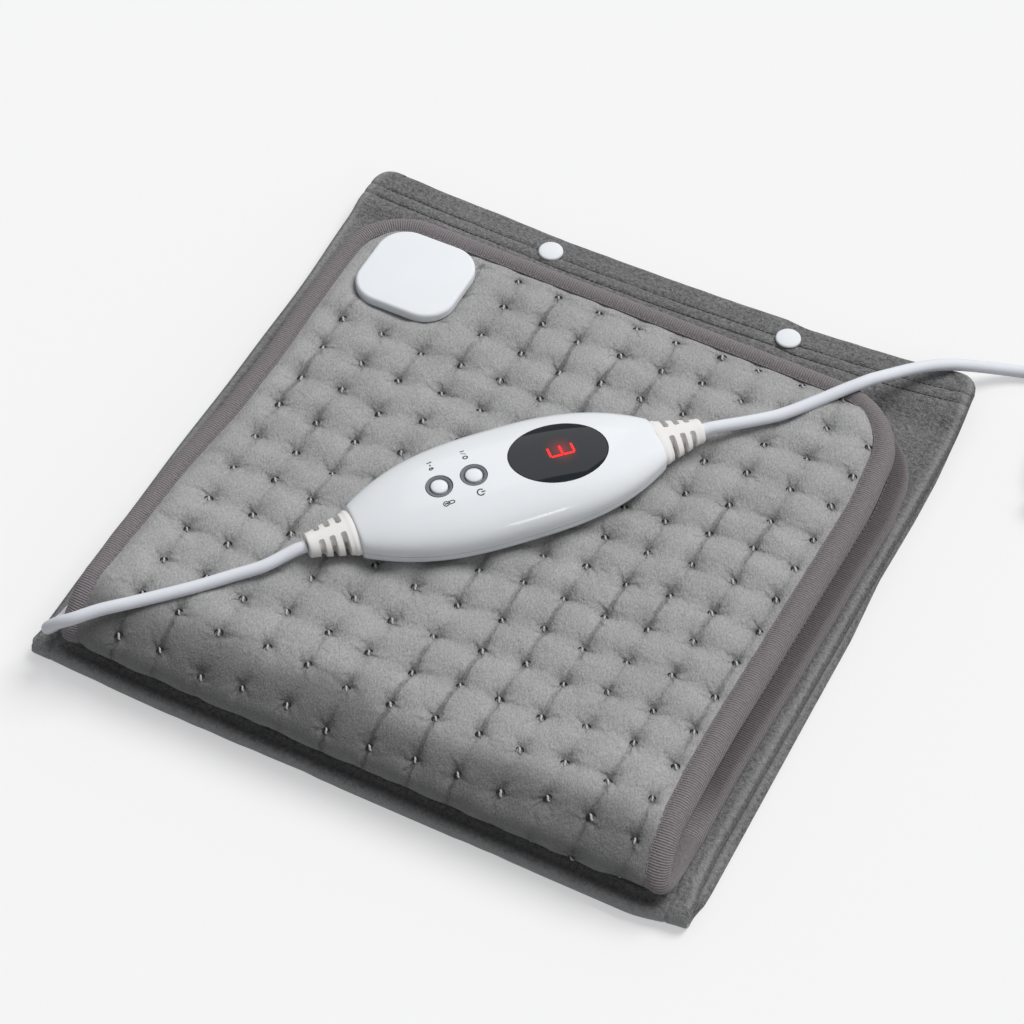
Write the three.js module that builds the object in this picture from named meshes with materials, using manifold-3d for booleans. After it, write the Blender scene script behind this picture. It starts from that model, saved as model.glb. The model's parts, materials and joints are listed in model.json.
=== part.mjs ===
// Heating pad with controller, in millimetres.
// The pad is folded in half on its folded fleece cover, with the controller on top.
// +X runs to the right along the cover's mouth, +Y towards the mouth, +Z up.
// The origin is on the surface under the middle of the cover.

import * as THREE from 'three';
import { mergeVertices } from 'three/addons/utils/BufferGeometryUtils.js';
import Module from 'manifold-3d';

const wasm = await Module();
wasm.setup();

// Driving dimensions

const GAP = 0.3;

const COVER = { halfWidth: 163.5, front: -165, mouth: 168.5, ply: 1.5 };
// Middle heights of the cover's plies, lower leaf and upper leaf, and how much the mouth lifts them.
const OUTER_PANEL = { low: 0.75, high: 8.95, mouthLift: 3.5 };
const INNER_PANEL = { low: 3.65, high: 5.45, mouthLift: 1.4 };
const SEAM_STRIP = { low: 2.2, high: 7.2, mouthLift: 2.2, thickness: 0.8, width: 8 };
const END_SEAM = { inset: 10, from: 10.5, to: 2, z0: 1.8, z1: 2.6 };
const MOUTH = { liftFrom: 134, liftTo: 146, hemFrom: 149.5, hemTo: 167.5, hemThickness: 0.7 };
const SNAPS = { x: [-60.5, 67.5], y: 154.5, radius: 6.2 };

const PAD = {
  front: -162.5, upperBack: 126.5, lowerBack: 133,
  lowerMid: 15.2, upperMid: 30, tilt: -0.02,
  edge: 5.2, bindingWidth: 11.5, cornerLeft: 34, cornerRight: 40,
};
const UPPER_SIDES = { leftFront: -147, leftBack: -143.5, rightFront: 151.5, rightBack: 148.5 };
const LOWER_SIDES = { leftFront: -147, leftBack: -147.5, rightFront: 153.5, rightBack: 152.5 };
const FOLD_STEPS = 6;
const PLY = { edge: 4, crown: 5.75, tuft: 2.6, crease: 4.3, cross: 5, foldCrown: 5, faceInside: 1.1, backInside: -1.6 };
const TUFTS = { x0: 7.7, pitchX: 21.05, first: -6, last: 6, y0: 110, pitchY: 20.5, rows: 13 };
const CARRIER = { top: -0.9, bottom: -1.3, inset: 7 };
const WIRE = { radius: 0.8, pitch: 22, left: -110, right: 128, firstY: 60, upperRows: 9, lowerRows: 11, returnX: -126 };

const CONNECTOR = {
  x: -100.4, y: 88.7, width: 51, depth: 49, corner: 15,
  plateUnder: 4.9, plateTop: 9.4, baseTop: -4.7, baseUnder: -11.3, postSpacing: 23, postRadius: 2,
};

const CONTROLLER = { x: 0.7, y: -12.5, angle: 47.85, halfLength: 72.65, parting: 45, wall: 2.2, skirt: 1 };
const CABLE_Z = 44.7;
const CORD_RADIUS = 2.9;
const LENS = { s: 24.5, halfLength: 22.8, halfWidth: 15.8, thickness: 1.6 };
const BUTTONS = [
  { key: 'power', s: -15.8 },
  { key: 'heat', s: -32.2 },
];
const BUTTON = { radius: 3.9, ringOuter: 6.1, ringInner: 4.35, travel: 0.6 };
const BOARD = { under: 49, top: 50.6 };
const RELIEF = { length: 22, bigWidth: 12.4, bigHeight: 6.8, smallWidth: 5.4, smallHeight: 5, slotWidth: 2.6 };

const COIL = { x: 246, y: 157, outer: 46.2, pitch: 6.3, turns: 7.25, lowZ: 3.9, perTurn: 24, sides: 6 };
const PLUG = { x: 292, lead: 117, relief: 22, body: 37, width: 35.3, thickness: 13.7, pin: 19, pinSpacing: 18.6 };
const PLUG_Z = 7.1;

const part = new THREE.Group();

// Materials

function plastic(color, roughness) {
  return new THREE.MeshStandardMaterial({ color, roughness, metalness: 0 });
}

const FACE_PLUSH = plastic(0x969696, 0.95);
const BINDING_KNIT = plastic(0x827d7f, 0.9);
const COVER_FLEECE = plastic(0x646466, 0.95);
const FELT = plastic(0xd8d6d0, 0.9);
const WIRE_SLEEVE = plastic(0xc9c2b4, 0.6);
const WHITE_GLOSS = plastic(0xebf0f2, 0.2);
const CORD_WHITE = plastic(0xe6e8f0, 0.4);
const RELIEF_WHITE = plastic(0xf0eeeb, 0.5);
const SMOKED = plastic(0x323a41, 0.05);
const RING_GREY = plastic(0x6e767d, 0.4);
const BOARD_GREEN = plastic(0x2f6b45, 0.5);
const COMPONENT_BLACK = plastic(0x222222, 0.5);
const COMPONENT_YELLOW = plastic(0xd2b04a, 0.5);
const METAL = new THREE.MeshStandardMaterial({ color: 0xb8b8ba, roughness: 0.3, metalness: 1 });

// Shared geometry helpers

function add(name, geometry, material, parent = part) {
  const mesh = new THREE.Mesh(geometry, material);
  mesh.name = name;
  parent.add(mesh);
  return mesh;
}

function lerp(a, b, t) {
  return a + (b - a) * t;
}

function clamp01(t) {
  return Math.min(1, Math.max(0, t));
}

function meshFrom(positions, triangles) {
  let volume = 0;
  for (const [a, b, c] of triangles) {
    const [p, q, r] = [positions[a], positions[b], positions[c]];
    volume += p[0] * (q[1] * r[2] - q[2] * r[1]);
    volume += p[1] * (q[2] * r[0] - q[0] * r[2]);
    volume += p[2] * (q[0] * r[1] - q[1] * r[0]);
  }
  const facing = volume > 0 ? triangles : triangles.map(([a, b, c]) => [a, c, b]);
  const geometry = new THREE.BufferGeometry();
  geometry.setAttribute('position', new THREE.Float32BufferAttribute(positions.flat(), 3));
  geometry.setIndex(facing.flat());
  return geometry;
}

// A closed sheet: a full grid of points on its outer side, and straight strips on its inner side.
function closedSheet(outer, inner) {
  const rows = outer.length;
  const columns = outer[0].length;
  const positions = [...outer.flat(), ...inner.flat()];
  const top = (r, c) => r * columns + c;
  const under = (r, side) => rows * columns + r * 2 + side;
  const triangles = [];
  for (let r = 0; r < rows - 1; r += 1) {
    for (let c = 0; c < columns - 1; c += 1) {
      const flip = (r + c) % 2 === 0;
      const [a, b, d, e] = [top(r, c), top(r, c + 1), top(r + 1, c + 1), top(r + 1, c)];
      triangles.push(...(flip ? [[a, b, d], [a, d, e]] : [[a, b, e], [b, d, e]]));
    }
    triangles.push([under(r, 0), under(r + 1, 1), under(r, 1)], [under(r, 0), under(r + 1, 0), under(r + 1, 1)]);
    triangles.push([top(r, 0), top(r + 1, 0), under(r + 1, 0)], [top(r, 0), under(r + 1, 0), under(r, 0)]);
    const last = columns - 1;
    triangles.push([top(r, last), under(r + 1, 1), top(r + 1, last)]);
    triangles.push([top(r, last), under(r, 1), under(r + 1, 1)]);
  }
  for (const [r, turn] of [[0, false], [rows - 1, true]]) {
    const fan = [];
    for (let c = 0; c < columns - 1; c += 1) {
      fan.push([under(r, 0), top(r, c + 1), top(r, c)]);
    }
    fan.push([under(r, 0), under(r, 1), top(r, columns - 1)]);
    triangles.push(...(turn ? fan.map(([a, b, c]) => [a, c, b]) : fan));
  }
  return meshFrom(positions, triangles);
}

// A closed loft through rings of equal size, with flat ends, or joined into a loop.
function loft(rings, looped = false) {
  const size = rings[0].length;
  const positions = rings.flat();
  const triangles = [];
  const spans = looped ? rings.length : rings.length - 1;
  for (let r = 0; r < spans; r += 1) {
    const next = ((r + 1) % rings.length) * size;
    for (let i = 0; i < size; i += 1) {
      const j = (i + 1) % size;
      triangles.push([r * size + i, next + i, next + j], [r * size + i, next + j, r * size + j]);
    }
  }
  if (!looped) {
    for (const [ring, turn] of [[0, true], [rings.length - 1, false]]) {
      const centre = positions.length;
      const points = rings[ring];
      positions.push([0, 1, 2].map((k) => points.reduce((sum, p) => sum + p[k], 0) / size));
      for (let i = 0; i < size; i += 1) {
        const [a, b] = [ring * size + i, ring * size + ((i + 1) % size)];
        triangles.push(turn ? [centre, a, b] : [centre, b, a]);
      }
    }
  }
  return meshFrom(positions, triangles);
}

// A round tube through a list of points, its rings carried along without twist.
function tubeThrough(points, radius, sides) {
  const path = points.map((p) => new THREE.Vector3(...p));
  const rings = [];
  let side = null;
  for (let i = 0; i < path.length; i += 1) {
    const before = path[Math.max(0, i - 1)];
    const after = path[Math.min(path.length - 1, i + 1)];
    const tangent = after.clone().sub(before).normalize();
    if (side === null) {
      side = new THREE.Vector3(0, 0, 1).cross(tangent).normalize();
    }
    side.addScaledVector(tangent, -side.dot(tangent)).normalize();
    const up = tangent.clone().cross(side);
    const ring = [];
    for (let k = 0; k < sides; k += 1) {
      const angle = (2 * Math.PI * k) / sides;
      const p = path[i].clone();
      p.addScaledVector(side, radius * Math.cos(angle));
      p.addScaledVector(up, radius * Math.sin(angle));
      ring.push(p.toArray());
    }
    rings.push(ring);
  }
  return loft(rings);
}

function polygon(radius, sides) {
  const shape = new THREE.Shape();
  for (let k = 0; k < sides; k += 1) {
    const angle = (2 * Math.PI * k) / sides;
    const point = [radius * Math.cos(angle), radius * Math.sin(angle)];
    if (k === 0) {
      shape.moveTo(...point);
    } else {
      shape.lineTo(...point);
    }
  }
  return shape;
}

function cordAlong(route, steps) {
  const path = new THREE.CatmullRomCurve3(route.map((p) => new THREE.Vector3(...p)), false, 'centripetal');
  return new THREE.ExtrudeGeometry(polygon(CORD_RADIUS, 8), { steps, extrudePath: path });
}

function box(x0, x1, y0, y1, z0, z1) {
  const geometry = new THREE.BoxGeometry(x1 - x0, y1 - y0, z1 - z0);
  return geometry.translate((x0 + x1) / 2, (y0 + y1) / 2, (z0 + z1) / 2);
}

function rodZ(x, y, z0, z1, radius, sides = 16) {
  const geometry = new THREE.CylinderGeometry(radius, radius, z1 - z0, sides);
  return geometry.rotateX(Math.PI / 2).translate(x, y, (z0 + z1) / 2);
}

function rodX(x0, x1, y, z, radius, sides = 16) {
  const geometry = new THREE.CylinderGeometry(radius, radius, x1 - x0, sides);
  return geometry.rotateZ(Math.PI / 2).translate((x0 + x1) / 2, y, z);
}

function rodY(y0, y1, x, z, radius, sides = 16) {
  return new THREE.CylinderGeometry(radius, radius, y1 - y0, sides).translate(x, (y0 + y1) / 2, z);
}

// A turned piece about a vertical axis at x, y. The profile is [radius, height] pairs.
function turned(profile, x, y, sides = 12) {
  const points = profile.map(([r, z]) => new THREE.Vector2(r, z));
  return new THREE.LatheGeometry(points, sides).rotateX(Math.PI / 2).translate(x, y, 0);
}

function roundedRect(x0, x1, y0, y1, radius) {
  const shape = new THREE.Shape();
  shape.absarc(x1 - radius, y1 - radius, radius, 0, Math.PI / 2);
  shape.absarc(x0 + radius, y1 - radius, radius, Math.PI / 2, Math.PI);
  shape.absarc(x0 + radius, y0 + radius, radius, Math.PI, 1.5 * Math.PI);
  shape.absarc(x1 - radius, y0 + radius, radius, 1.5 * Math.PI, 2 * Math.PI);
  return shape;
}

function prism(shape, z0, z1, curveSegments = 4) {
  return new THREE.ExtrudeGeometry(shape, { depth: z1 - z0, bevelEnabled: false, curveSegments }).translate(0, 0, z0);
}

function solidOf(geometry) {
  const bare = geometry.clone();
  bare.deleteAttribute('normal');
  bare.deleteAttribute('uv');
  const merged = mergeVertices(bare, 1e-4);
  return new wasm.Manifold(new wasm.Mesh({
    numProp: 3,
    vertProperties: new Float32Array(merged.attributes.position.array),
    triVerts: new Uint32Array(merged.index.array),
  }));
}

function geometryOf(solid) {
  const mesh = solid.getMesh();
  const geometry = new THREE.BufferGeometry();
  geometry.setAttribute('position', new THREE.BufferAttribute(new Float32Array(mesh.vertProperties), 3));
  geometry.setIndex(new THREE.BufferAttribute(new Uint32Array(mesh.triVerts), 1));
  return geometry;
}

function cut(geometry, cutters, joined = []) {
  let solid = solidOf(geometry);
  for (const piece of joined) {
    solid = solid.add(solidOf(piece));
  }
  for (const cutter of cutters) {
    solid = solid.subtract(solidOf(cutter));
  }
  return geometryOf(solid);
}

// Cover: two panels folded in half at the front, seam allowances, hems and snaps

function mouthLift(y) {
  return clamp01((y - MOUTH.liftFrom) / (MOUTH.liftTo - MOUTH.liftFrom));
}

// Points of a folded ply across the cover's width, from the mouth round the front to the closed end.
function coverPly(ply, thickness, xs, mouthY, endY) {
  const radius = (ply.high - ply.low) / 2;
  const foldY = OUTER_PANEL.low - OUTER_PANEL.high;
  const centreY = COVER.front + COVER.ply / 2 - foldY / 2;
  const centreZ = (ply.high + ply.low) / 2;
  const stations = [];
  for (const y of [mouthY, MOUTH.liftTo, MOUTH.liftFrom]) {
    stations.push({ y, z: ply.high + ply.mouthLift * mouthLift(y), ny: 0, nz: 1 });
  }
  for (let k = 0; k <= FOLD_STEPS; k += 1) {
    const angle = Math.PI * (0.5 - k / FOLD_STEPS);
    const [ny, nz] = [-Math.cos(angle), Math.sin(angle)];
    stations.push({ y: centreY + radius * ny, z: centreZ + radius * nz, ny, nz });
  }
  stations.push({ y: endY, z: ply.low, ny: 0, nz: -1 });
  const half = thickness / 2;
  const side = (sign) => stations.map((s) => xs.map((x) => [x, s.y + sign * half * s.ny, s.z + sign * half * s.nz]));
  return closedSheet(side(1), side(-1).map((row) => [row[0], row[row.length - 1]]));
}

const { halfWidth, mouth } = COVER;
const mouthTop = OUTER_PANEL.high + OUTER_PANEL.mouthLift + COVER.ply / 2;
const panelWidth = [-halfWidth, 0, halfWidth];

function snapHoles(z0, z1, radius) {
  return SNAPS.x.map((x) => rodZ(x, SNAPS.y, z0, z1, radius, 12));
}

const outerPanel = coverPly(OUTER_PANEL, COVER.ply, panelWidth, mouth, mouth);
const innerPanel = coverPly(INNER_PANEL, COVER.ply, panelWidth, mouth, mouth);
const outerUnder = mouthTop - COVER.ply;
const innerTop = INNER_PANEL.high + INNER_PANEL.mouthLift + COVER.ply / 2;
const innerUnder = innerTop - COVER.ply;
add('cover_outer_panel', cut(outerPanel, snapHoles(outerUnder - 1, mouthTop + 1, 1.9)), COVER_FLEECE);
add('cover_inner_panel', cut(innerPanel, snapHoles(innerUnder - 1, innerTop + 1, 1.9)), COVER_FLEECE);

const hemTopZ = outerUnder - GAP;
const hemLowZ = innerTop + GAP;
const hem = (z0) => box(2 - halfWidth, halfWidth - 2, MOUTH.hemFrom, MOUTH.hemTo, z0, z0 + MOUTH.hemThickness);
add('mouth_hem_upper', cut(hem(hemTopZ - MOUTH.hemThickness), snapHoles(hemTopZ - 2, hemTopZ + 1, 5.6)), COVER_FLEECE);
add('mouth_hem_lower', cut(hem(hemLowZ), snapHoles(hemLowZ - 1, hemLowZ + 2, 5.6)), COVER_FLEECE);

for (const [name, sign] of [['side_seam_left', -1], ['side_seam_right', 1]]) {
  const edges = [sign * (halfWidth - 0.5), sign * (halfWidth - 0.5 - SEAM_STRIP.width)].sort((a, b) => a - b);
  const strip = coverPly(SEAM_STRIP, SEAM_STRIP.thickness, edges, MOUTH.hemFrom - 1, mouth - END_SEAM.from - 1.5);
  add(name, strip, COVER_FLEECE);
}
const endHalf = halfWidth - END_SEAM.inset;
const endSeam = box(-endHalf, endHalf, mouth - END_SEAM.from, mouth - END_SEAM.to, END_SEAM.z0, END_SEAM.z1);
add('end_seam', endSeam, COVER_FLEECE);

SNAPS.x.forEach((x, index) => {
  const n = index + 1;
  const r = SNAPS.radius;
  const seat = mouthTop + GAP;
  const socketTop = hemTopZ;
  const studTop = hemLowZ + 0.8;
  const backTop = innerUnder - GAP;
  const cap = [[0, outerUnder], [1.5, outerUnder], [1.5, seat], [r, seat], [r, seat + 0.7], [r - 0.6, seat + 1.6]];
  add(`snap_cap_${n}`, turned([...cap, [r - 2.4, seat + 2.2], [0, seat + 2.5]], x, SNAPS.y), WHITE_GLOSS);
  const socket = [[0, socketTop - 1.1], [2.6, socketTop - 1.1], [2.6, studTop + GAP], [5.2, studTop + GAP]];
  add(`snap_socket_${n}`, turned([...socket, [5.2, socketTop], [0, socketTop]], x, SNAPS.y), WHITE_GLOSS);
  const stud = [[0, hemLowZ], [5, hemLowZ], [5, studTop], [2.2, studTop], [2.2, studTop + 1.2], [0, studTop + 1.2]];
  add(`snap_stud_${n}`, turned(stud, x, SNAPS.y), WHITE_GLOSS);
  const back = [[0, backTop - 1.05], [r - 1, backTop - 1.05], [r, backTop - 0.6], [r, backTop], [1.5, backTop]];
  add(`snap_back_${n}`, turned([...back, [1.5, innerTop], [0, innerTop]], x, SNAPS.y), WHITE_GLOSS);
});

// Pad: one mid surface folded round the front, with n the distance outwards from it

function upperMid(x) {
  return PAD.upperMid + PAD.tilt * x;
}

function foldRadius(x) {
  return (upperMid(x) - PAD.lowerMid) / 2;
}

function padPoint(x, station, n) {
  if (station.leaf === 'upper') {
    return [x, station.y, upperMid(x) + n];
  }
  if (station.leaf === 'lower') {
    return [x, station.y, PAD.lowerMid - n];
  }
  const angle = Math.PI * (0.5 - station.fold);
  const reach = foldRadius(x) + n;
  const centreY = PAD.front + PAD.edge + foldRadius(x);
  return [x, centreY - reach * Math.cos(angle), PAD.lowerMid + foldRadius(x) + reach * Math.sin(angle)];
}

// Left and right edges of the pad's outline at a station, drawn in by inset.
function padSides(station, inset) {
  if (station.fold !== undefined) {
    const right = lerp(UPPER_SIDES.rightFront, LOWER_SIDES.rightFront, station.fold);
    return [UPPER_SIDES.leftFront + inset, right - inset];
  }
  const upper = station.leaf === 'upper';
  const sides = upper ? UPPER_SIDES : LOWER_SIDES;
  const back = upper ? PAD.upperBack : PAD.lowerBack;
  const t = clamp01((station.y - PAD.front) / (back - PAD.front));
  const cornerInset = (radius) => {
    const into = station.y - (back - radius);
    const reach = Math.max(0, radius - inset);
    return into > 0 ? reach - Math.sqrt(Math.max(0, reach * reach - into * into)) : 0;
  };
  const left = lerp(sides.leftFront, sides.leftBack, t) + inset + cornerInset(PAD.cornerLeft);
  const right = lerp(sides.rightFront, sides.rightBack, t) - inset - cornerInset(PAD.cornerRight);
  return [left, right];
}

const EDGE_INSET = 4;
const BINDING_INSET = PAD.bindingWidth + 1;

// Rows of the plies, from the upper leaf's back edge round the fold to the lower leaf's back edge.
function padRows(upperYs, lowerYs) {
  const rows = upperYs.map((y) => ({ leaf: 'upper', y }));
  for (let k = 0; k <= FOLD_STEPS; k += 1) {
    rows.push({ fold: k / FOLD_STEPS });
  }
  rows.push(...lowerYs.map((y) => ({ leaf: 'lower', y })));
  return rows;
}

const backCornerYs = (back) => [back - 34, back - 22, back - BINDING_INSET, back - 7.5, back - EDGE_INSET];

function quiltRows() {
  const ys = [PAD.upperBack - EDGE_INSET, PAD.upperBack - BINDING_INSET];
  for (let k = 0; k <= 2 * (TUFTS.rows - 1); k += 1) {
    ys.push(TUFTS.y0 - (k * TUFTS.pitchY) / 2);
  }
  const back = PAD.lowerBack;
  return padRows(ys, [back - 40, back - 14, back - EDGE_INSET]);
}

function quiltColumns() {
  const xs = [UPPER_SIDES.leftFront + EDGE_INSET, UPPER_SIDES.leftFront + BINDING_INSET];
  for (let k = 2 * TUFTS.first - 1; k <= 2 * TUFTS.last; k += 1) {
    xs.push(TUFTS.x0 + (k * TUFTS.pitchX) / 2);
  }
  xs.push(UPPER_SIDES.rightFront - BINDING_INSET, UPPER_SIDES.rightFront - EDGE_INSET);
  return xs;
}

// Height of the quilted face over the mid surface at grid column c and row r of the upper leaf.
function quiltHeight(x, y, column, row) {
  const underPlate = Math.abs(x - CONNECTOR.x) < CONNECTOR.width / 2 + 9
    && Math.abs(y - CONNECTOR.y) < CONNECTOR.depth / 2 + 9;
  const nearCorner = y > PAD.upperBack - 30 && (x > 110 || x < -115);
  if (underPlate || nearCorner) {
    return PLY.edge;
  }
  const onColumn = column % 2 === 1;
  const onRow = row % 2 === 1;
  if (onColumn && onRow) {
    return PLY.tuft;
  }
  if (onColumn) {
    return PLY.crease;
  }
  return onRow ? PLY.cross : PLY.crown;
}

function facePly() {
  const rows = quiltRows();
  const columns = quiltColumns();
  const [x0, x1] = [columns[0], columns[columns.length - 1]];
  const lastColumn = columns.length - 1;
  const outer = rows.map((station, r) => {
    const [left, right] = padSides(station, EDGE_INSET);
    return columns.map((column, c) => {
      const x = lerp(left, right, (column - x0) / (x1 - x0));
      const margin = c < 2 || c > lastColumn - 2 || r < 2;
      const quilted = station.leaf === 'upper' && !margin;
      const flat = margin || (station.leaf === 'lower' && station.y > 100) ? PLY.edge : PLY.foldCrown;
      return padPoint(x, station, quilted ? quiltHeight(x, station.y, c, r - 1) : flat);
    });
  });
  const inner = rows.map((station) => padSides(station, EDGE_INSET).map((x) => padPoint(x, station, PLY.faceInside)));
  return closedSheet(outer, inner);
}

// A plain ply between two distances from the mid surface, with rounded back corners.
function plainPly(outside, inside, inset) {
  const upperYs = backCornerYs(PAD.upperBack).reverse().map((y) => y + EDGE_INSET - inset);
  const lowerYs = backCornerYs(PAD.lowerBack).map((y) => y + EDGE_INSET - inset);
  const rows = padRows(upperYs, lowerYs);
  const side = (n) => rows.map((station) => padSides(station, inset).map((x) => padPoint(x, station, n)));
  return closedSheet(side(outside), side(inside));
}

const postXs = [-1, 1].map((sign) => CONNECTOR.x + (sign * CONNECTOR.postSpacing) / 2);
const postHoles = postXs.map((x) => rodZ(x, CONNECTOR.y, PAD.lowerMid + 8, 45, CONNECTOR.postRadius + 0.5, 8));
add('pad_face_ply', cut(facePly(), postHoles), FACE_PLUSH);
add('pad_back_ply', cut(plainPly(PLY.backInside, -PLY.edge, EDGE_INSET), postHoles), FACE_PLUSH);
add('element_carrier', cut(plainPly(CARRIER.top, CARRIER.bottom, CARRIER.inset), postHoles), FELT);

// The binding's section: [distance in from the pad's edge, distance from the mid surface].
const BINDING_SECTION = [
  [11.5, 5.2], [3.2, 5.2], [0.8, 3.6], [0, 0], [0.8, -3.6], [3.2, -5.2], [11.5, -5.2],
  [11.5, -4.4], [3.5, -4.4], [1.1, -2.2], [1.1, 2.2], [3.5, 4.4], [11.5, 4.4],
];

function bindingRings() {
  const rings = [];
  const ring = (station, x, y, ex, ey) => BINDING_SECTION.map(([inset, n]) => {
    const moved = station.fold === undefined ? { leaf: station.leaf, y: y - ey * inset } : station;
    return padPoint(x - ex * inset, moved, n);
  });
  const corner = (leaf, back, radius, side, turns) => {
    for (const turn of turns) {
      const angle = (turn * Math.PI) / 2;
      const edgeX = padSides({ leaf, y: back - radius }, 0)[side > 0 ? 1 : 0];
      const [ex, ey] = [side * Math.cos(angle), Math.sin(angle)];
      rings.push(ring({ leaf }, edgeX - side * radius * (1 - Math.cos(angle)), back - radius * (1 - ey), ex, ey));
    }
  };
  const rise = [0, 0.2, 0.4, 0.6, 0.8, 1];
  const fall = [...rise].reverse();
  const foldStations = Array.from({ length: FOLD_STEPS + 1 }, (_, k) => ({ fold: k / FOLD_STEPS }));
  corner('upper', PAD.upperBack, PAD.cornerRight, 1, fall);
  for (const station of foldStations) {
    rings.push(ring(station, padSides(station, 0)[1], 0, 1, 0));
  }
  corner('lower', PAD.lowerBack, PAD.cornerRight, 1, rise);
  corner('lower', PAD.lowerBack, PAD.cornerLeft, -1, fall);
  for (const station of foldStations.reverse()) {
    rings.push(ring(station, padSides(station, 0)[0], 0, -1, 0));
  }
  corner('upper', PAD.upperBack, PAD.cornerLeft, -1, rise);
  return rings;
}

add('pad_binding', loft(bindingRings(), true), BINDING_KNIT);

// Heating wire: back and forth over both leaves, and back to the connector along the left edge.
function wireRoute() {
  const points = [];
  const start = WIRE.firstY;
  let side = 1;
  const bend = WIRE.pitch / 2;
  const row = (leaf, y, away) => {
    const [from, to] = side > 0 ? [WIRE.left, WIRE.right] : [WIRE.right, WIRE.left];
    points.push([from, leaf, y], [to, leaf, y]);
    if (away !== 0) {
      for (const along of [0.25, 0.75]) {
        points.push([to + side * bend * 0.9, leaf, y + along * away * WIRE.pitch]);
      }
    }
    side = -side;
  };
  for (let k = 0; k < WIRE.upperRows; k += 1) {
    row('upper', start - k * WIRE.pitch, k < WIRE.upperRows - 1 ? -1 : 0);
  }
  const crossX = side > 0 ? WIRE.left : WIRE.right;
  const lowerStart = start - (WIRE.upperRows - 1) * WIRE.pitch;
  const route = points.map(([x, leaf, y]) => padPoint(x, { leaf, y }, 0));
  const foldStations = Array.from({ length: FOLD_STEPS + 1 }, (_, k) => ({ fold: k / FOLD_STEPS }));
  const outX = crossX + bend * Math.sign(crossX);
  route.push(...foldStations.map((station) => padPoint(outX, station, 0)));
  points.length = 0;
  for (let k = 0; k < WIRE.lowerRows; k += 1) {
    row('lower', lowerStart + k * WIRE.pitch, k < WIRE.lowerRows - 1 ? 1 : 0);
  }
  route.push(...points.map(([x, leaf, y]) => padPoint(x, { leaf, y }, 0)));
  const lastY = lowerStart + (WIRE.lowerRows - 1) * WIRE.pitch;
  if (side > 0) {
    route.push(padPoint(WIRE.returnX, { leaf: 'lower', y: lastY - 5 }, 0));
  } else {
    route.push(padPoint(WIRE.right + bend, { leaf: 'lower', y: lastY + 6 }, 0));
    route.push(padPoint(WIRE.right, { leaf: 'lower', y: lastY + 11 }, 0));
    route.push(padPoint(WIRE.left, { leaf: 'lower', y: lastY + 11 }, 0));
    route.push(padPoint(WIRE.returnX, { leaf: 'lower', y: lastY }, 0));
  }
  route.push(...foldStations.reverse().map((station) => padPoint(WIRE.returnX, station, 0)));
  route.push(padPoint(WIRE.returnX, { leaf: 'upper', y: start + 8 }, 0));
  return route;
}

add('heating_wire', tubeThrough(wireRoute(), WIRE.radius, 5), WIRE_SLEEVE);
const cutoutZ = upperMid(-70);
add('overheat_cutout', box(-76, -62, 82, 86, cutoutZ - 0.7, cutoutZ + 0.7), METAL);

// Connector: a plate on the face, a moulded base under the leaf and two screws between them

const connectorZ = upperMid(CONNECTOR.x);
const connectorShape = (inset) => roundedRect(
  CONNECTOR.x - CONNECTOR.width / 2 + inset, CONNECTOR.x + CONNECTOR.width / 2 - inset,
  CONNECTOR.y - CONNECTOR.depth / 2 + inset, CONNECTOR.y + CONNECTOR.depth / 2 - inset, CONNECTOR.corner - inset,
);
const plateTop = connectorZ + CONNECTOR.plateTop;
const plateUnder = connectorZ + CONNECTOR.plateUnder;
const plateSlab = new THREE.ExtrudeGeometry(connectorShape(1.5), {
  depth: plateTop - plateUnder - 3, bevelThickness: 1.5, bevelSize: 1.5, bevelSegments: 1, curveSegments: 3,
}).translate(0, 0, plateUnder + 1.5);
const baseTop = connectorZ + CONNECTOR.baseTop;
const baseUnder = connectorZ + CONNECTOR.baseUnder;
const posts = postXs.map((x) => rodZ(x, CONNECTOR.y, baseTop + GAP, plateUnder + 1, CONNECTOR.postRadius, 12));
const postBores = postXs.map((x) => rodZ(x, CONNECTOR.y, baseTop - 1, plateUnder, 1.1, 8));
add('connector_plate', cut(plateSlab, postBores, posts), WHITE_GLOSS);

const LEAD_Z = baseUnder + 3.5;
const nozzleEnd = CONNECTOR.x - 20;
const baseBlock = prism(connectorShape(8), baseUnder, baseTop, 3);
const baseHoles = postXs.flatMap((x) => [
  rodZ(x, CONNECTOR.y, baseUnder - 1, baseUnder + 2, 2.4, 10),
  rodZ(x, CONNECTOR.y, baseUnder - 1, baseTop + 1, 1.3, 8),
]);
const nozzle = rodX(nozzleEnd, CONNECTOR.x - 14, CONNECTOR.y, LEAD_Z, 3.3, 10);
add('connector_base', cut(baseBlock, baseHoles, [nozzle]), RELIEF_WHITE);
postXs.forEach((x, index) => {
  const head = baseUnder + 0.3;
  const profile = [[0, head], [2.1, head], [2.1, head + 1.4], [0.8, head + 1.4], [0.8, plateUnder - 1.5], [0, plateUnder - 1.5]];
  add(`connector_screw_${index + 1}`, turned(profile, x, CONNECTOR.y, 10), METAL);
});

// Controller: s runs along it towards the display end, y across it

const controller = new THREE.Group();
controller.position.set(CONTROLLER.x, CONTROLLER.y, 0);
controller.rotation.z = THREE.MathUtils.degToRad(CONTROLLER.angle);
part.add(controller);

function housingHalfWidth(u) {
  return 13 + 17.5 * (1 - Math.abs(u) ** 2.8);
}

function housingRise(u) {
  return 7 + 8.5 * (1 - Math.abs(u) ** 2.5);
}

function housingDrop(u) {
  return 7 + 0.8 * (1 - Math.abs(u) ** 2.5);
}

const TOP_CURVE = 2.4;
const BOTTOM_CURVE = 3.2;

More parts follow.
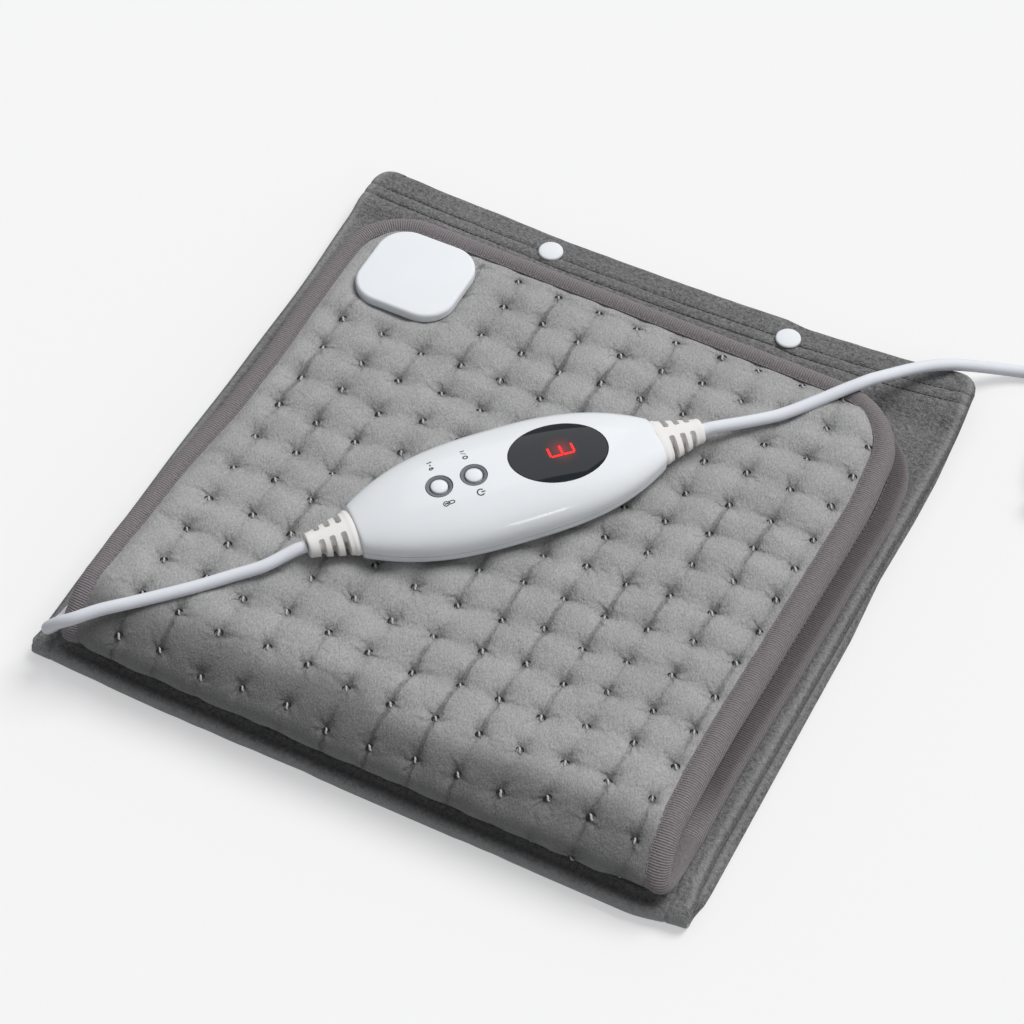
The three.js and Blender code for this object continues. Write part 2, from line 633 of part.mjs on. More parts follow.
// Height of the top shell's surface over a point s, y.
function housingTopZ(s, y) {
  const u = s / CONTROLLER.halfLength;
  const across = Math.min(1, Math.abs(y) / housingHalfWidth(u));
  const dome = (1 - across ** TOP_CURVE) ** (1 / TOP_CURVE);
  return CONTROLLER.parting + CONTROLLER.skirt + (housingRise(u) - CONTROLLER.skirt) * dome;
}

// One half of the housing as a solid, drawn in by inset; sign is 1 for the top, -1 for the bottom.
function housingHalf(sign, inset, rimZ) {
  const ends = inset > 0 ? [1, 0.88, 0.66, 0.35] : [1, 0.97, 0.88, 0.72, 0.5, 0.25];
  const stations = [...ends.map((u) => -u), 0, ...[...ends].reverse()];
  const around = inset > 0 ? 8 : 12;
  const power = 2 / (sign > 0 ? TOP_CURVE : BOTTOM_CURVE);
  const outer = [];
  const rim = [];
  for (const u of stations) {
    const s = u * (CONTROLLER.halfLength - inset);
    const half = housingHalfWidth(u) - inset;
    const reach = (sign > 0 ? housingRise(u) : housingDrop(u)) - CONTROLLER.skirt - inset;
    const row = [];
    for (let k = 0; k <= around; k += 1) {
      const angle = (Math.PI * k) / around;
      const cos = Math.cos(angle);
      const y = half * Math.sign(cos) * Math.abs(cos) ** power;
      const z = reach * Math.sin(angle) ** power;
      row.push([s, y, CONTROLLER.parting + sign * (CONTROLLER.skirt + z)]);
    }
    outer.push(row);
    rim.push([[s, half, rimZ], [s, -half, rimZ]]);
  }
  return closedSheet(outer, rim);
}

const { parting, wall } = CONTROLLER;
const endHoles = [-1, 1].map((sign) => {
  const from = sign * (CONTROLLER.halfLength - 6);
  const to = sign * (CONTROLLER.halfLength + 3);
  return rodX(Math.min(from, to), Math.max(from, to), 0, CABLE_Z, 3.7, 12);
});
const screwPlaces = [[-50, -13], [-50, 13], [50, -13], [50, 13]];

function lensPrism(grow) {
  const shape = new THREE.Shape();
  shape.absellipse(0, 0, LENS.halfLength + grow, LENS.halfWidth + grow, 0, 2 * Math.PI);
  return prism(shape, parting + 8, parting + 20, 12).translate(LENS.s, 0, 0);
}

const topBosses = screwPlaces.map(([s, y]) => rodZ(s, y, parting + 0.5, parting + 8.2, 3.2, 8));
const topCuts = [
  housingHalf(1, wall, parting - 2), lensPrism(0.35), ...endHoles,
  ...BUTTONS.map(({ s }) => rodZ(s, 0, parting + 8, parting + 20, 6.4, 16)),
];
const topBores = screwPlaces.map(([s, y]) => rodZ(s, y, parting - 2, parting + 6, 1.6, 8));
const topHollow = cut(housingHalf(1, 0, parting + GAP / 2), topCuts);
add('top_shell', cut(topHollow, topBores, topBosses), WHITE_GLOSS, controller);

const bottomBosses = screwPlaces.map(([s, y]) => rodZ(s, y, parting - 6, parting - GAP, 4.3, 8));
const bottomBores = screwPlaces.flatMap(([s, y]) => [
  rodZ(s, y, parting - 10, parting + 1, 1.7, 8),
  rodZ(s, y, parting - 10, parting - 3, 3.1, 8),
]);
const bottomHollow = cut(housingHalf(-1, 0, parting - GAP / 2), [housingHalf(-1, wall, parting + 2), ...endHoles]);
add('bottom_shell', cut(bottomHollow, bottomBores, bottomBosses), WHITE_GLOSS, controller);
screwPlaces.forEach(([s, y], index) => {
  const head = parting - 5;
  const profile = [[0, head], [2.7, head], [2.7, head + 1.7], [1.35, head + 1.7], [1.35, head + 10.5], [0, head + 10.5]];
  add(`case_screw_${index + 1}`, turned(profile, s, y, 10), METAL, controller);
});

// A window whose top follows the housing's dome.
function lensSolid() {
  const segments = 20;
  const spread = [0.6, 1];
  const layer = (drop) => spread.map((f) => Array.from({ length: segments }, (_, k) => {
    const angle = (2 * Math.PI * k) / segments;
    const [s, y] = [LENS.s + f * LENS.halfLength * Math.cos(angle), f * LENS.halfWidth * Math.sin(angle)];
    return [s, y, housingTopZ(s, y) - drop];
  }));
  const rings = [...layer(0.1), ...layer(0.1 + LENS.thickness).reverse()];
  return loft(rings);
}

add('display_lens', lensSolid(), SMOKED, controller);
add('digit_module', box(16.2, 35.2, -6.5, 6.5, BOARD.top + GAP, parting + 11.5), COMPONENT_BLACK, controller);

for (const { key, s } of BUTTONS) {
  const surface = housingTopZ(s, 0);
  const ringTop = surface - 0.4;
  const { ringOuter, ringInner, radius, travel } = BUTTON;
  const ring = [
    [ringInner, ringTop - 2], [ringOuter, ringTop - 2], [ringOuter, ringTop], [ringOuter - 0.9, ringTop],
    [ringInner, ringTop - 0.8], [ringInner, ringTop - 2],
  ];
  add(`${key}_ring`, turned(ring, s, 0, 16), RING_GREY, controller);
  const flange = ringTop - 2 - GAP;
  const plunger = BOARD.top + 3;
  const stem = plunger + travel + 0.2;
  const top = surface + 0.25;
  const cap = [
    [0, stem], [1.6, stem], [1.6, flange - 1], [5.2, flange - 1], [5.2, flange], [radius, flange],
    [radius, top - 0.5], [radius - 0.6, top], [0, top + 0.15],
  ];
  add(`${key}_button`, turned(cap, s, 0, 14), WHITE_GLOSS, controller);
  const body = box(s - 3, s + 3, -3, 3, BOARD.top + GAP, BOARD.top + 2.4);
  add(`${key}_switch`, cut(body, [], [rodZ(s, 0, BOARD.top + 1, plunger, 1.7, 10)]), COMPONENT_BLACK, controller);
}

const boardShape = new THREE.Shape();
const boardHalf = [[-44, 13], [-30, 19], [0, 21], [30, 20], [44, 13]];
const boardOutline = [...boardHalf, ...[...boardHalf].reverse().map(([s, y]) => [s, -y])];
boardShape.setFromPoints(boardOutline.map(([s, y]) => new THREE.Vector2(s, y)));
add('circuit_board', prism(boardShape, BOARD.under, BOARD.top), BOARD_GREEN, controller);
add('control_chip', box(-5, 5, -3, 3, BOARD.top + GAP, BOARD.top + 1.8), COMPONENT_BLACK, controller);
const hangZ = BOARD.under - GAP;
add('fuse', rodX(-32, -12, -10, hangZ - 2.6, 2.6, 12), METAL, controller);
add('film_capacitor', box(-42, -29, -3, 3, hangZ - 8, hangZ), COMPONENT_YELLOW, controller);
add('smoothing_capacitor', rodX(14, 25, 9, hangZ - 4, 4, 12), COMPONENT_BLACK, controller);
add('triac', box(-7, 8, -12, -2, hangZ - 4, hangZ), COMPONENT_BLACK, controller);

// Strain reliefs: a lip against the housing, a slotted taper, and a neck and tail inside.
function reliefSolid() {
  const start = CONTROLLER.halfLength + GAP;
  const rows = [[0, 1], [2, 0.98], [2.8, 0.88], [8.5, 0.66], [15, 0.36], [RELIEF.length, 0]];
  const rings = rows.map(([along, f]) => {
    const half = lerp(RELIEF.smallWidth, RELIEF.bigWidth, f);
    const tall = lerp(RELIEF.smallHeight, RELIEF.bigHeight, f);
    return Array.from({ length: 14 }, (_, k) => {
      const angle = (2 * Math.PI * k) / 14;
      return [start + along, half * Math.cos(angle), CABLE_Z + tall * Math.sin(angle)];
    });
  });
  const inside = [
    rodX(CONTROLLER.halfLength - 12, start + 1, 0, CABLE_Z, 3.3, 12),
    rodX(CONTROLLER.halfLength - wall - 2.3, CONTROLLER.halfLength - wall - GAP, 0, CABLE_Z, 4.3, 12),
  ];
  const taper = cut(loft(rings), [], inside);
  const slots = [6, 11.4, 16.8].map((along) => {
    const from = start + along - RELIEF.slotWidth / 2;
    const to = from + RELIEF.slotWidth;
    const slab = box(from, to, -14, 14, CABLE_Z - 8, CABLE_Z + 8);
    const core = rodX(from - 1, to + 1, 0, CABLE_Z, 4.2, 10);
    const bridge = box(from - 1, to + 1, -2.6, 2.6, CABLE_Z - 9, CABLE_Z + 9);
    return cut(slab, [core, bridge]);
  });
  let solid = solidOf(taper);
  for (const slot of slots) {
    solid = solid.subtract(solidOf(slot));
  }
  return geometryOf(solid);
}

add('relief_mains_end', reliefSolid(), RELIEF_WHITE, controller);
add('relief_pad_end', reliefSolid().rotateZ(Math.PI), RELIEF_WHITE, controller);
for (const [name, sign] of [['cord_clamp_mains', 1], ['cord_clamp_pad', -1]]) {
  const [near, far] = [sign * 61, sign * 66].sort((a, b) => a - b);
  const bore = rodX(near - 1, far + 1, 0, CABLE_Z, 3.3 + GAP, 12);
  add(name, cut(box(near, far, -7, 7, CABLE_Z - 4.2, CABLE_Z + 5), [bore]), COMPONENT_BLACK, controller);
}

// Cords. Routes are centre lines, from the controller's two ends.

function reliefMouth(sign) {
  const reach = sign * (CONTROLLER.halfLength + RELIEF.length + 2 * GAP);
  const angle = THREE.MathUtils.degToRad(CONTROLLER.angle);
  return [CONTROLLER.x + reach * Math.cos(angle), CONTROLLER.y + reach * Math.sin(angle), CABLE_Z];
}

const PAD_LEAD_ROUTE = [
  reliefMouth(-1),
  [-66, -86.4, 44.5], [-69.8, -91.8, 43.6], [-75.1, -99.9, 42.7], [-85.6, -110.9, 41.9],
  [-96, -122, 41.4], [-106.6, -132.5, 41.2],
  [-117.3, -142.7, 41], [-128.2, -152.4, 40.4], [-137, -160.3, 38.2], [-143.8, -163.3, 34.4], [-148.2, -164.2, 29.8],
  [-150.4, -161.6, 24.9], [-150.4, -154.5, 20.4], [-150.6, -146, 17.8], [-150.8, -133, 16.6], [-150.9, -118, 16.6],
  [-151, -103, 17.2], [-151, -90, 19.2], [-149.4, -78, 22], [-146, -66, 23.8], [-141.2, -54, 24.1],
  [-137, -38, 24.2], [-134.4, -14, 24.2], [-133.4, 16, 24.2], [-133, 48, 24.2], [-132.6, 68, 24.2],
  [-130.6, 79.5, 24.2], [-126.8, 86.4, 24.2], [nozzleEnd - 2, CONNECTOR.y, LEAD_Z],
  [nozzleEnd - GAP, CONNECTOR.y, LEAD_Z],
];
add('pad_lead', cordAlong(PAD_LEAD_ROUTE, 52), CORD_WHITE);

const MAINS_LEAD_ROUTE = [
  reliefMouth(1),
  [67.6, 61.4, 44.5], [72.4, 66.9, 43.1], [79.5, 74.9, 41], [90.5, 87.5, 38.6],
  [100.7, 102.3, 37.3], [110.9, 117.5, 36.8],
  [114.5, 122.6, 36.6], [117.2, 127, 36], [119.6, 131.6, 34.6], [121.9, 136.4, 32.4], [125.9, 145, 28.4],
  [130.5, 153.6, 24.8], [134.7, 160.2, 22], [139.5, 166.4, 19.4], [145, 172.4, 16.6], [152, 179.2, 12.6],
  [159.5, 185.8, 8.4], [168.5, 191.9, 5], [180, 196.8, 3.4], [194, 200.4, 3.1], [209, 202.4, 3.2],
  [225, 203.2, 3.6],
  [COIL.x - 2 * CORD_RADIUS - GAP - 5, COIL.y + COIL.outer, COIL.lowZ],
  [COIL.x - 2 * CORD_RADIUS - GAP, COIL.y + COIL.outer, COIL.lowZ],
];
add('mains_lead', cordAlong(MAINS_LEAD_ROUTE, 40), CORD_WHITE);

// The coil winds in on the lower layer and out again on the upper one, clockwise from above.
const coilHighZ = COIL.lowZ + COIL.pitch;

function coilRoute() {
  const half = COIL.turns / 2;
  const steps = COIL.turns * COIL.perTurn;
  const points = [[COIL.x - 2 * CORD_RADIUS, COIL.y + COIL.outer, COIL.lowZ]];
  for (let k = 0; k <= steps; k += 1) {
    const turn = k / COIL.perTurn;
    const angle = Math.PI / 2 - 2 * Math.PI * turn;
    const radius = COIL.outer - COIL.pitch * Math.min(turn, COIL.turns - turn);
    const z = lerp(COIL.lowZ, coilHighZ, clamp01((turn - half + 0.25) / 0.5));
    points.push([COIL.x + radius * Math.cos(angle), COIL.y + radius * Math.sin(angle), z]);
  }
  points.push([COIL.x + COIL.outer, COIL.y - 2 * CORD_RADIUS, coilHighZ]);
  return points;
}

function leastGap(points, apart) {
  let least = Infinity;
  for (let i = 0; i < points.length; i += 1) {
    for (let j = i + apart; j < points.length; j += 1) {
      least = Math.min(least, new THREE.Vector3(...points[i]).distanceTo(new THREE.Vector3(...points[j])));
    }
  }
  return least - 2 * CORD_RADIUS;
}

const coilPoints = coilRoute();
console.log(`mains_coil least gap to itself ${leastGap(coilPoints, COIL.perTurn / 2).toFixed(2)} mm`);
add('mains_coil', tubeThrough(coilPoints, CORD_RADIUS, COIL.sides), CORD_WHITE);

const tieInner = COIL.outer - (COIL.pitch * COIL.turns) / 2 - CORD_RADIUS - 0.5;
const tieOuter = COIL.outer + CORD_RADIUS + 0.5;
const tieTop = coilHighZ + CORD_RADIUS + GAP;
const tieBand = roundedRect(tieInner - 0.6, tieOuter + 0.6, 0.1, tieTop + 0.6, 2);
tieBand.holes.push(roundedRect(tieInner, tieOuter, 0.7, tieTop, 1.4));
const tie = prism(tieBand, -4.5, 4.5, 3).rotateX(Math.PI / 2).rotateZ(THREE.MathUtils.degToRad(225));
add('coil_tie', tie.translate(COIL.x, COIL.y, 0), COMPONENT_BLACK);

const MAINS_TAIL_ROUTE = [
  [PLUG.x + 0.2, COIL.y - 2 * CORD_RADIUS - GAP, coilHighZ], [PLUG.x + 0.2, 146, 10.1], [PLUG.x + 0.1, 138, 9.2],
  [PLUG.x, 129, 7.8], [PLUG.x, 122, 7.2], [PLUG.x, PLUG.lead + GAP, PLUG_Z],
];
add('mains_tail', cordAlong(MAINS_TAIL_ROUTE, 10), CORD_WHITE);

// Mains plug, lying flat with its pins towards the front

const reliefFront = PLUG.lead - PLUG.relief;
const bodyBack = reliefFront - GAP;
const bodyFront = bodyBack - PLUG.body;
const reliefProfile = [
  [0, 0], [5.4, 0], [5.4, 4], [4.3, 4], [4.3, 6.5], [5, 6.5], [5, 10.5], [4, 10.5], [4, 13], [4.6, 13],
  [4, PLUG.relief], [0, PLUG.relief],
];
const plugRelief = new THREE.LatheGeometry(reliefProfile.map(([r, z]) => new THREE.Vector2(r, z)), 10);
add('plug_relief', plugRelief.translate(PLUG.x, reliefFront, PLUG_Z), CORD_WHITE);

const plugShape = new THREE.Shape();
const inset = 1.2;
const plugHalf = [[PLUG.width / 2 - inset, inset], [PLUG.width / 2 - inset, 16], [9.5, PLUG.body - 5], [8, PLUG.body - inset]];
const plugOutline = [...plugHalf, ...[...plugHalf].reverse().map(([x, y]) => [-x, y])];
plugShape.setFromPoints(plugOutline.map(([x, y]) => new THREE.Vector2(x, y)));
const plugBlock = new THREE.ExtrudeGeometry(plugShape, {
  depth: PLUG.thickness - 2 * inset, bevelThickness: inset, bevelSize: inset, bevelSegments: 2,
}).translate(PLUG.x, bodyFront, PLUG_Z - PLUG.thickness / 2 + inset);
const pinXs = [PLUG.x - PLUG.pinSpacing / 2, PLUG.x + PLUG.pinSpacing / 2];
const pinBores = pinXs.map((x) => rodY(bodyFront - 1, bodyFront + 8, x, PLUG_Z, 2 + GAP, 12));
add('plug_body', cut(plugBlock, pinBores), CORD_WHITE);
['plug_pin_left', 'plug_pin_right'].forEach((name, index) => {
  add(name, rodY(bodyFront - PLUG.pin, bodyFront + 7.5, pinXs[index], PLUG_Z, 2, 12), METAL);
});

export default part;
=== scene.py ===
import json
import math
from collections import namedtuple

import bmesh
import bpy
import numpy as np
from bpy.props import FloatProperty, FloatVectorProperty, IntProperty, PointerProperty
from mathutils import Matrix, Vector


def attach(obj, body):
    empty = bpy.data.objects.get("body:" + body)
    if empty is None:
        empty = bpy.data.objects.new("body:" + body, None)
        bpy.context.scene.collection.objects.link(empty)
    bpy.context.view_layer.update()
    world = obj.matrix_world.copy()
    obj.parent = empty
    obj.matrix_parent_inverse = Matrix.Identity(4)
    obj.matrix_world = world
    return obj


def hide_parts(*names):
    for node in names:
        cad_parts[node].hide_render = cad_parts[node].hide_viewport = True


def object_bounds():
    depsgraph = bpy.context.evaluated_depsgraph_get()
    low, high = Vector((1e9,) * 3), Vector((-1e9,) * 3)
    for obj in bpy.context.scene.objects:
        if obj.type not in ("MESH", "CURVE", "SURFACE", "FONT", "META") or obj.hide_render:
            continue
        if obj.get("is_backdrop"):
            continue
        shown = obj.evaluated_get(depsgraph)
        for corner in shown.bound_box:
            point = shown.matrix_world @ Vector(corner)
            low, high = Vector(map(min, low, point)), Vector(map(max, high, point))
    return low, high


bl_info = {
    "name": "Heating pad with controller",
    "version": (1, 0, 0),
    "blender": (4, 5, 0),
    "location": "3D View > Sidebar > Heating pad",
    "description": "Builds a folded heating pad, its fleece cover, its cords and its controller",
    "category": "Add Mesh",
}

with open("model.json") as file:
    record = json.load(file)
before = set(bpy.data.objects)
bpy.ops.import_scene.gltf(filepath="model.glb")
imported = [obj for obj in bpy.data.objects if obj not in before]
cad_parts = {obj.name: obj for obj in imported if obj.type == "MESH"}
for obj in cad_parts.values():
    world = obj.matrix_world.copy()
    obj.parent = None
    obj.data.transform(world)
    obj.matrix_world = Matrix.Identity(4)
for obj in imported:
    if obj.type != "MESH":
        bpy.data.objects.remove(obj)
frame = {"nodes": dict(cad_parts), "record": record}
CAD_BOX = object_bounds()

MM = 0.001
SET = "pad_set"


# Settings

def tone(red, green, blue):
    """A colour written as screen values from 0 to 255, as Blender's linear colour"""
    def linear(value):
        value /= 255
        return value / 12.92 if value <= 0.04045 else ((value + 0.055) / 1.055) ** 2.4
    return (linear(red), linear(green), linear(blue))


def colour_prop(name, description, screen):
    return FloatVectorProperty(
        name=name, description=description, default=tone(*screen), min=0, max=1, subtype="COLOR"
    )


def length_prop(name, description, default):
    return FloatProperty(name=name, description=description, default=default, unit="LENGTH", precision=5)


class PadSettings(bpy.types.PropertyGroup):
    """Sizes and colours of the quilted pad"""
    plush: colour_prop("Plush", "Colour of the pad's faces", (168, 168, 168))
    tape: colour_prop("Tape", "Colour of the ribbed edge tape", (136, 130, 133))
    pitch_across: length_prop("Pitch across", "Distance between columns of tacks", 0.02105)
    pitch_along: length_prop("Pitch along", "Distance between rows of tacks", 0.0205)
    crown: length_prop("Crown", "Height of the quilting over the middle of the pad", 0.0059)
    pressure: FloatProperty(name="Pressure", description="How hard the filling pushes out", default=1.4)
    slack: FloatProperty(name="Slack", description="Extra cloth between tacks", default=0.03)


class CoverSettings(bpy.types.PropertyGroup):
    """Colour of the fleece cover and size of its snaps"""
    fleece: colour_prop("Fleece", "Colour of the cover", (116, 116, 117))
    snap_radius: length_prop("Snap radius", "Radius of a snap cap", 0.0062)


class ControllerSettings(bpy.types.PropertyGroup):
    """Colours of the controller"""
    housing: colour_prop("Housing", "Colour of the housing and buttons", (233, 236, 240))
    relief: colour_prop("Relief", "Colour of the strain reliefs", (236, 234, 232))
    window: colour_prop("Window", "Colour of the display window", (18, 25, 31))
    ring: colour_prop("Ring", "Colour of the rings round the buttons", (112, 118, 124))
    lit: colour_prop("Lit", "Colour of the lit digit", (255, 30, 30))
    print: colour_prop("Print", "Colour of the printed marks", (44, 48, 54))


class CordSettings(bpy.types.PropertyGroup):
    """Colour and diameter of the cords, and how fine the coil is"""
    sheath: colour_prop("Sheath", "Colour of the cords", (226, 228, 236))
    diameter: length_prop("Diameter", "Diameter of the cords", 0.0058)
    coil_points: IntProperty(name="Coil points", description="Points in each turn of the coil", default=48)


class StageSettings(bpy.types.PropertyGroup):
    """The floor and the camera"""
    floor: colour_prop("Floor", "Colour of the floor", (244, 244, 245))
    floor_glow: FloatProperty(
        name="Floor glow", description="Share of the floor's light that shadows leave", default=0.5,
    )
    azimuth: FloatProperty(name="Azimuth", description="Camera's turn to the right", default=27.03)
    elevation: FloatProperty(name="Elevation", description="Camera's height above the horizon", default=50.93)
    distance: length_prop("Distance", "Camera's distance from its target", 1.4213)
    lens: FloatProperty(name="Lens", description="Focal length in millimetres", default=107.26)


# Shader expressions

def feed(tree, socket, value):
    """Links another socket to an input, or sets the input's own value"""
    if isinstance(value, Value):
        tree.links.new(value.socket, socket)
    elif hasattr(value, "__len__") and len(value) == 3 and socket.type == "RGBA":
        socket.default_value = (*value, 1)
    else:
        socket.default_value = value


class Value:
    """A shader socket that adds Math nodes when it is used in an expression"""

    def __init__(self, tree, socket):
        self.tree = tree
        self.socket = socket

    def math(self, operation, *operands):
        node = self.tree.nodes.new("ShaderNodeMath")
        node.operation = operation
        for socket, operand in zip(node.inputs, operands):
            feed(self.tree, socket, operand)
        return Value(self.tree, node.outputs[0])

    def __add__(self, other):
        return self.math("ADD", self, other)

    __radd__ = __add__

    def __sub__(self, other):
        return self.math("SUBTRACT", self, other)

    def __rsub__(self, other):
        return self.math("SUBTRACT", other, self)

    def __mul__(self, other):
        return self.math("MULTIPLY", self, other)

    __rmul__ = __mul__

    def __truediv__(self, other):
        return self.math("DIVIDE", self, other)

    def sine(self):
        return self.math("SINE", self)

    def root(self):
        return self.math("SQRT", self)

    def angle_from(self, other):
        """Angle in radians of the point that lies this far along one axis and other along the next"""
        return self.math("ARCTAN2", self, other)

    def clamped(self):
        return self.math("MINIMUM", self.math("MAXIMUM", self, 0.0), 1.0)

    def bell(self, width):
        """1 where the value is 0, and falling away over the width on both sides"""
        share = self / width
        return self.math("EXPONENT", share * share * -1.0)

    def from_whole(self, pitch):
        """Distance to the nearest whole number, times the pitch"""
        return (self.math("FRACT", self + 100.5) - 0.5) * pitch


class Finish:
    """A material being made, with one method for every node that isn't Math"""

    def __init__(self, name):
        self.material = bpy.data.materials.new(name)
        self.material.use_nodes = True
        self.tree = self.material.node_tree
        self.shader = self.tree.nodes["Principled BSDF"]

    def node(self, kind, settings, values, output=0):
        node = self.tree.nodes.new(kind)
        for key, value in settings.items():
            if key == "stops":
                ramp = node.color_ramp
                for index, (position, colour) in enumerate(value):
                    element = ramp.elements[index] if index < 2 else ramp.elements.new(position)
                    element.position = position
                    element.color = (*colour, 1)
            else:
                setattr(node, key, value)
        for key, value in values.items():
            feed(self.tree, node.inputs[key], value)
        return Value(self.tree, node.outputs[output])

    def place(self):
        return self.node("ShaderNodeTexCoord", {}, {}, "Object")

    def noise(self, scale, detail=3.0, roughness=0.55, place=None):
        where = place or self.place()
        values = {"Vector": where, "Scale": scale, "Detail": detail, "Roughness": roughness}
        return self.node("ShaderNodeTexNoise", {}, values)

    def attribute(self, name):
        return self.node("ShaderNodeAttribute", {"attribute_name": name}, {}, "Fac")

    def blend(self, amount, first, second):
        values = {"Factor": amount, 6: first, 7: second}
        return self.node("ShaderNodeMix", {"data_type": "RGBA"}, values, 2)

    def bump(self, height, depth, strength=1.0, under=None):
        values = {"Height": height, "Distance": depth, "Strength": strength}
        if under is not None:
            values["Normal"] = under
        return self.node("ShaderNodeBump", {}, values)

    def shade(self, values):
        for key, value in values.items():
            feed(self.tree, self.shader.inputs[key], value)
        return self.material


def scaled(colour, factor):
    return tuple(min(1.0, c * factor) for c in colour)


# Finishes

def quilt_folds(finish, where, pitch_across, pitch_along):
    """Height in millimetres of the creases and small folds between the tacks, and the painted shade in them
    """
    sway = finish.noise(90, 2, 0.5, where) - 0.5
    across = finish.attribute("column").from_whole(pitch_across) + sway * 2.2
    along = finish.attribute("row").from_whole(pitch_along) + sway * 1.5
    away = (across * across + along * along).root()
    # Creases down the columns, softer ones along the rows, and folds that fan out from each tack
    down = ((finish.noise(22, 2, 0.5, where) - 0.47) * 7).clamped() * across.bell(1.0)
    beside = ((finish.noise(33, 2, 0.5, where) - 0.5) * 6).clamped() * along.bell(1.8)
    fan = (across.angle_from(along) * 4 + sway * 14).sine() * away.bell(7.5) * (1 - away.bell(2.6))
    # The soft shadow in front of each tack
    front = (along + 3.6).bell(3.4) * across.bell(4.2)
    quilted = finish.attribute("quilted")
    height = (down * -0.95 - beside * 0.55 - away.bell(2.4) * 0.9 + fan * 0.55) * quilted
    # Painted shade: darker down the creases, along the rows, in front of each tack and in its pit
    dark = (down * 0.32 + beside * 0.07 + front * 0.24 + away.bell(1.7) * 0.22) * quilted
    return height, dark


def plush_finish(name, settings):
    """Short pile that lies in streaks, with painted shade in the creases between the tacks and painted shade
    over the front of the fold
    """
    finish = Finish(name)
    colour = tuple(settings.plush)
    where = finish.place()
    streaks = {"Vector": where, "Rotation": (0, 0, 0.9), "Scale": (1, 0.55, 1)}
    nap = finish.noise(40, 3, 0.6, where)
    strands = finish.noise(1250, 3, 0.6, finish.node("ShaderNodeMapping", {}, streaks))
    fine = finish.noise(2500, 2, 0.6, where)
    height, dark = quilt_folds(finish, where, settings.pitch_across / MM, settings.pitch_along / MM)
    # Painted shade in the pits round the tacks and along the valleys; the seam line is darker too
    dark = dark + finish.attribute("hollow") * 0.35
    patch = (nap - 0.5) * 0.45 + (strands - 0.5) * 1.0 + (fine - 0.5) * 0.75 + 0.52 - dark
    # Painted shade: the colour is darkened over the front of the fold
    fold_shade = finish.attribute("fold_shade")
    low = finish.blend(fold_shade, scaled(colour, 0.48), scaled(colour, 0.22))
    high = finish.blend(fold_shade, scaled(colour, 1.42), scaled(colour, 0.7))
    base = finish.blend(patch.clamped(), low, high)
    folds = finish.bump(height, 0.001)
    under = finish.bump(strands, 0.0012, 0.7, folds)
    pile = finish.bump(fine, 0.0006, 0.5, under)
    return finish.shade({
        "Base Color": base, "Roughness": 0.92, "Normal": pile, "Sheen Weight": 0.3,
        "Sheen Roughness": 0.5, "Specular IOR Level": 0.15,
    })


def tape_finish(name, colour, rib_pitch=0.00118):
    """Ribbed knit, with its ribs across the tape's length, and painted shade in the gap between the leaves
    and faintly over the lower leaf
    """
    finish = Finish(name)
    along = finish.node("ShaderNodeUVMap", {"uv_map": "Along"}, {})
    length = finish.node("ShaderNodeSeparateXYZ", {}, {"Vector": along})
    speck = finish.noise(900, 3, 0.6)
    ribs = (length * (2 * math.pi / rib_pitch) + speck * 2.0).sine() * 0.5 + 0.5
    patch = (ribs * 0.42 + speck * 0.9 - 0.12).clamped()
    knit = finish.blend(patch, scaled(colour, 0.44), scaled(colour, 1.24))
    # Painted shade in the gap between the leaves
    base = finish.blend(finish.attribute("between") * 0.54, knit, scaled(colour, 0.06))
    normal = finish.bump(ribs * 0.8 + speck * 0.8, 0.0006, 0.8)
    return finish.shade({
        "Base Color": base, "Roughness": 0.85, "Normal": normal, "Sheen Weight": 0.2,
        "Sheen Roughness": 0.5, "Specular IOR Level": 0.2,
    })


def fleece_finish(name, colour):
    """Short fleece with a fine knit, with a painted highlight round the fold and along the rims, and painted
    shade just under the pad
    """
    finish = Finish(name)
    nap = finish.noise(26, 3, 0.6)
    fibre = finish.noise(1100, 4, 0.7)
    tufts = finish.noise(520, 3, 0.65)
    patch = (nap - 0.5) * 0.6 + (fibre - 0.5) * 1.8 + (tufts - 0.5) * 1.7 + 0.5
    cloth = finish.blend(patch.clamped(), scaled(colour, 0.4), scaled(colour, 1.66))
    # Painted highlight: paler round the fold and along the rims
    highlighted = finish.blend(finish.attribute("painted_highlight") * 0.8, cloth, scaled(colour, 2.8))
    # Painted shade: darker close under the pad's fold and in the gap along the upper leaf's rim
    base = finish.blend(finish.attribute("shaded") * 0.65, highlighted, scaled(colour, 0.08))
    soft = finish.bump(finish.noise(160, 3, 0.6), 0.001, 0.45)
    return finish.shade({
        "Base Color": base, "Roughness": 0.93, "Normal": finish.bump(fibre + tufts, 0.0014, 0.8, soft),
        "Sheen Weight": 0.3, "Sheen Roughness": 0.5, "Specular IOR Level": 0.15,
    })


def felt_finish(name, colour, scale):
    """Flat cloth of pressed fibres"""
    finish = Finish(name)
    mat = finish.noise(scale, 5, 0.7)
    base = finish.blend(mat, scaled(colour, 0.8), scaled(colour, 1.1))
    return finish.shade({"Base Color": base, "Roughness": 0.9, "Normal": finish.bump(mat, 0.0003, 0.6)})


def thread_finish(name, colour):
    """Twisted sewing thread"""
    finish = Finish(name)
    twist = finish.noise(1600, 2, 0.5)
    base = finish.blend(twist, scaled(colour, 0.7), scaled(colour, 1.15))
    return finish.shade({"Base Color": base, "Roughness": 0.7, "Normal": finish.bump(twist, 0.0002, 0.5)})


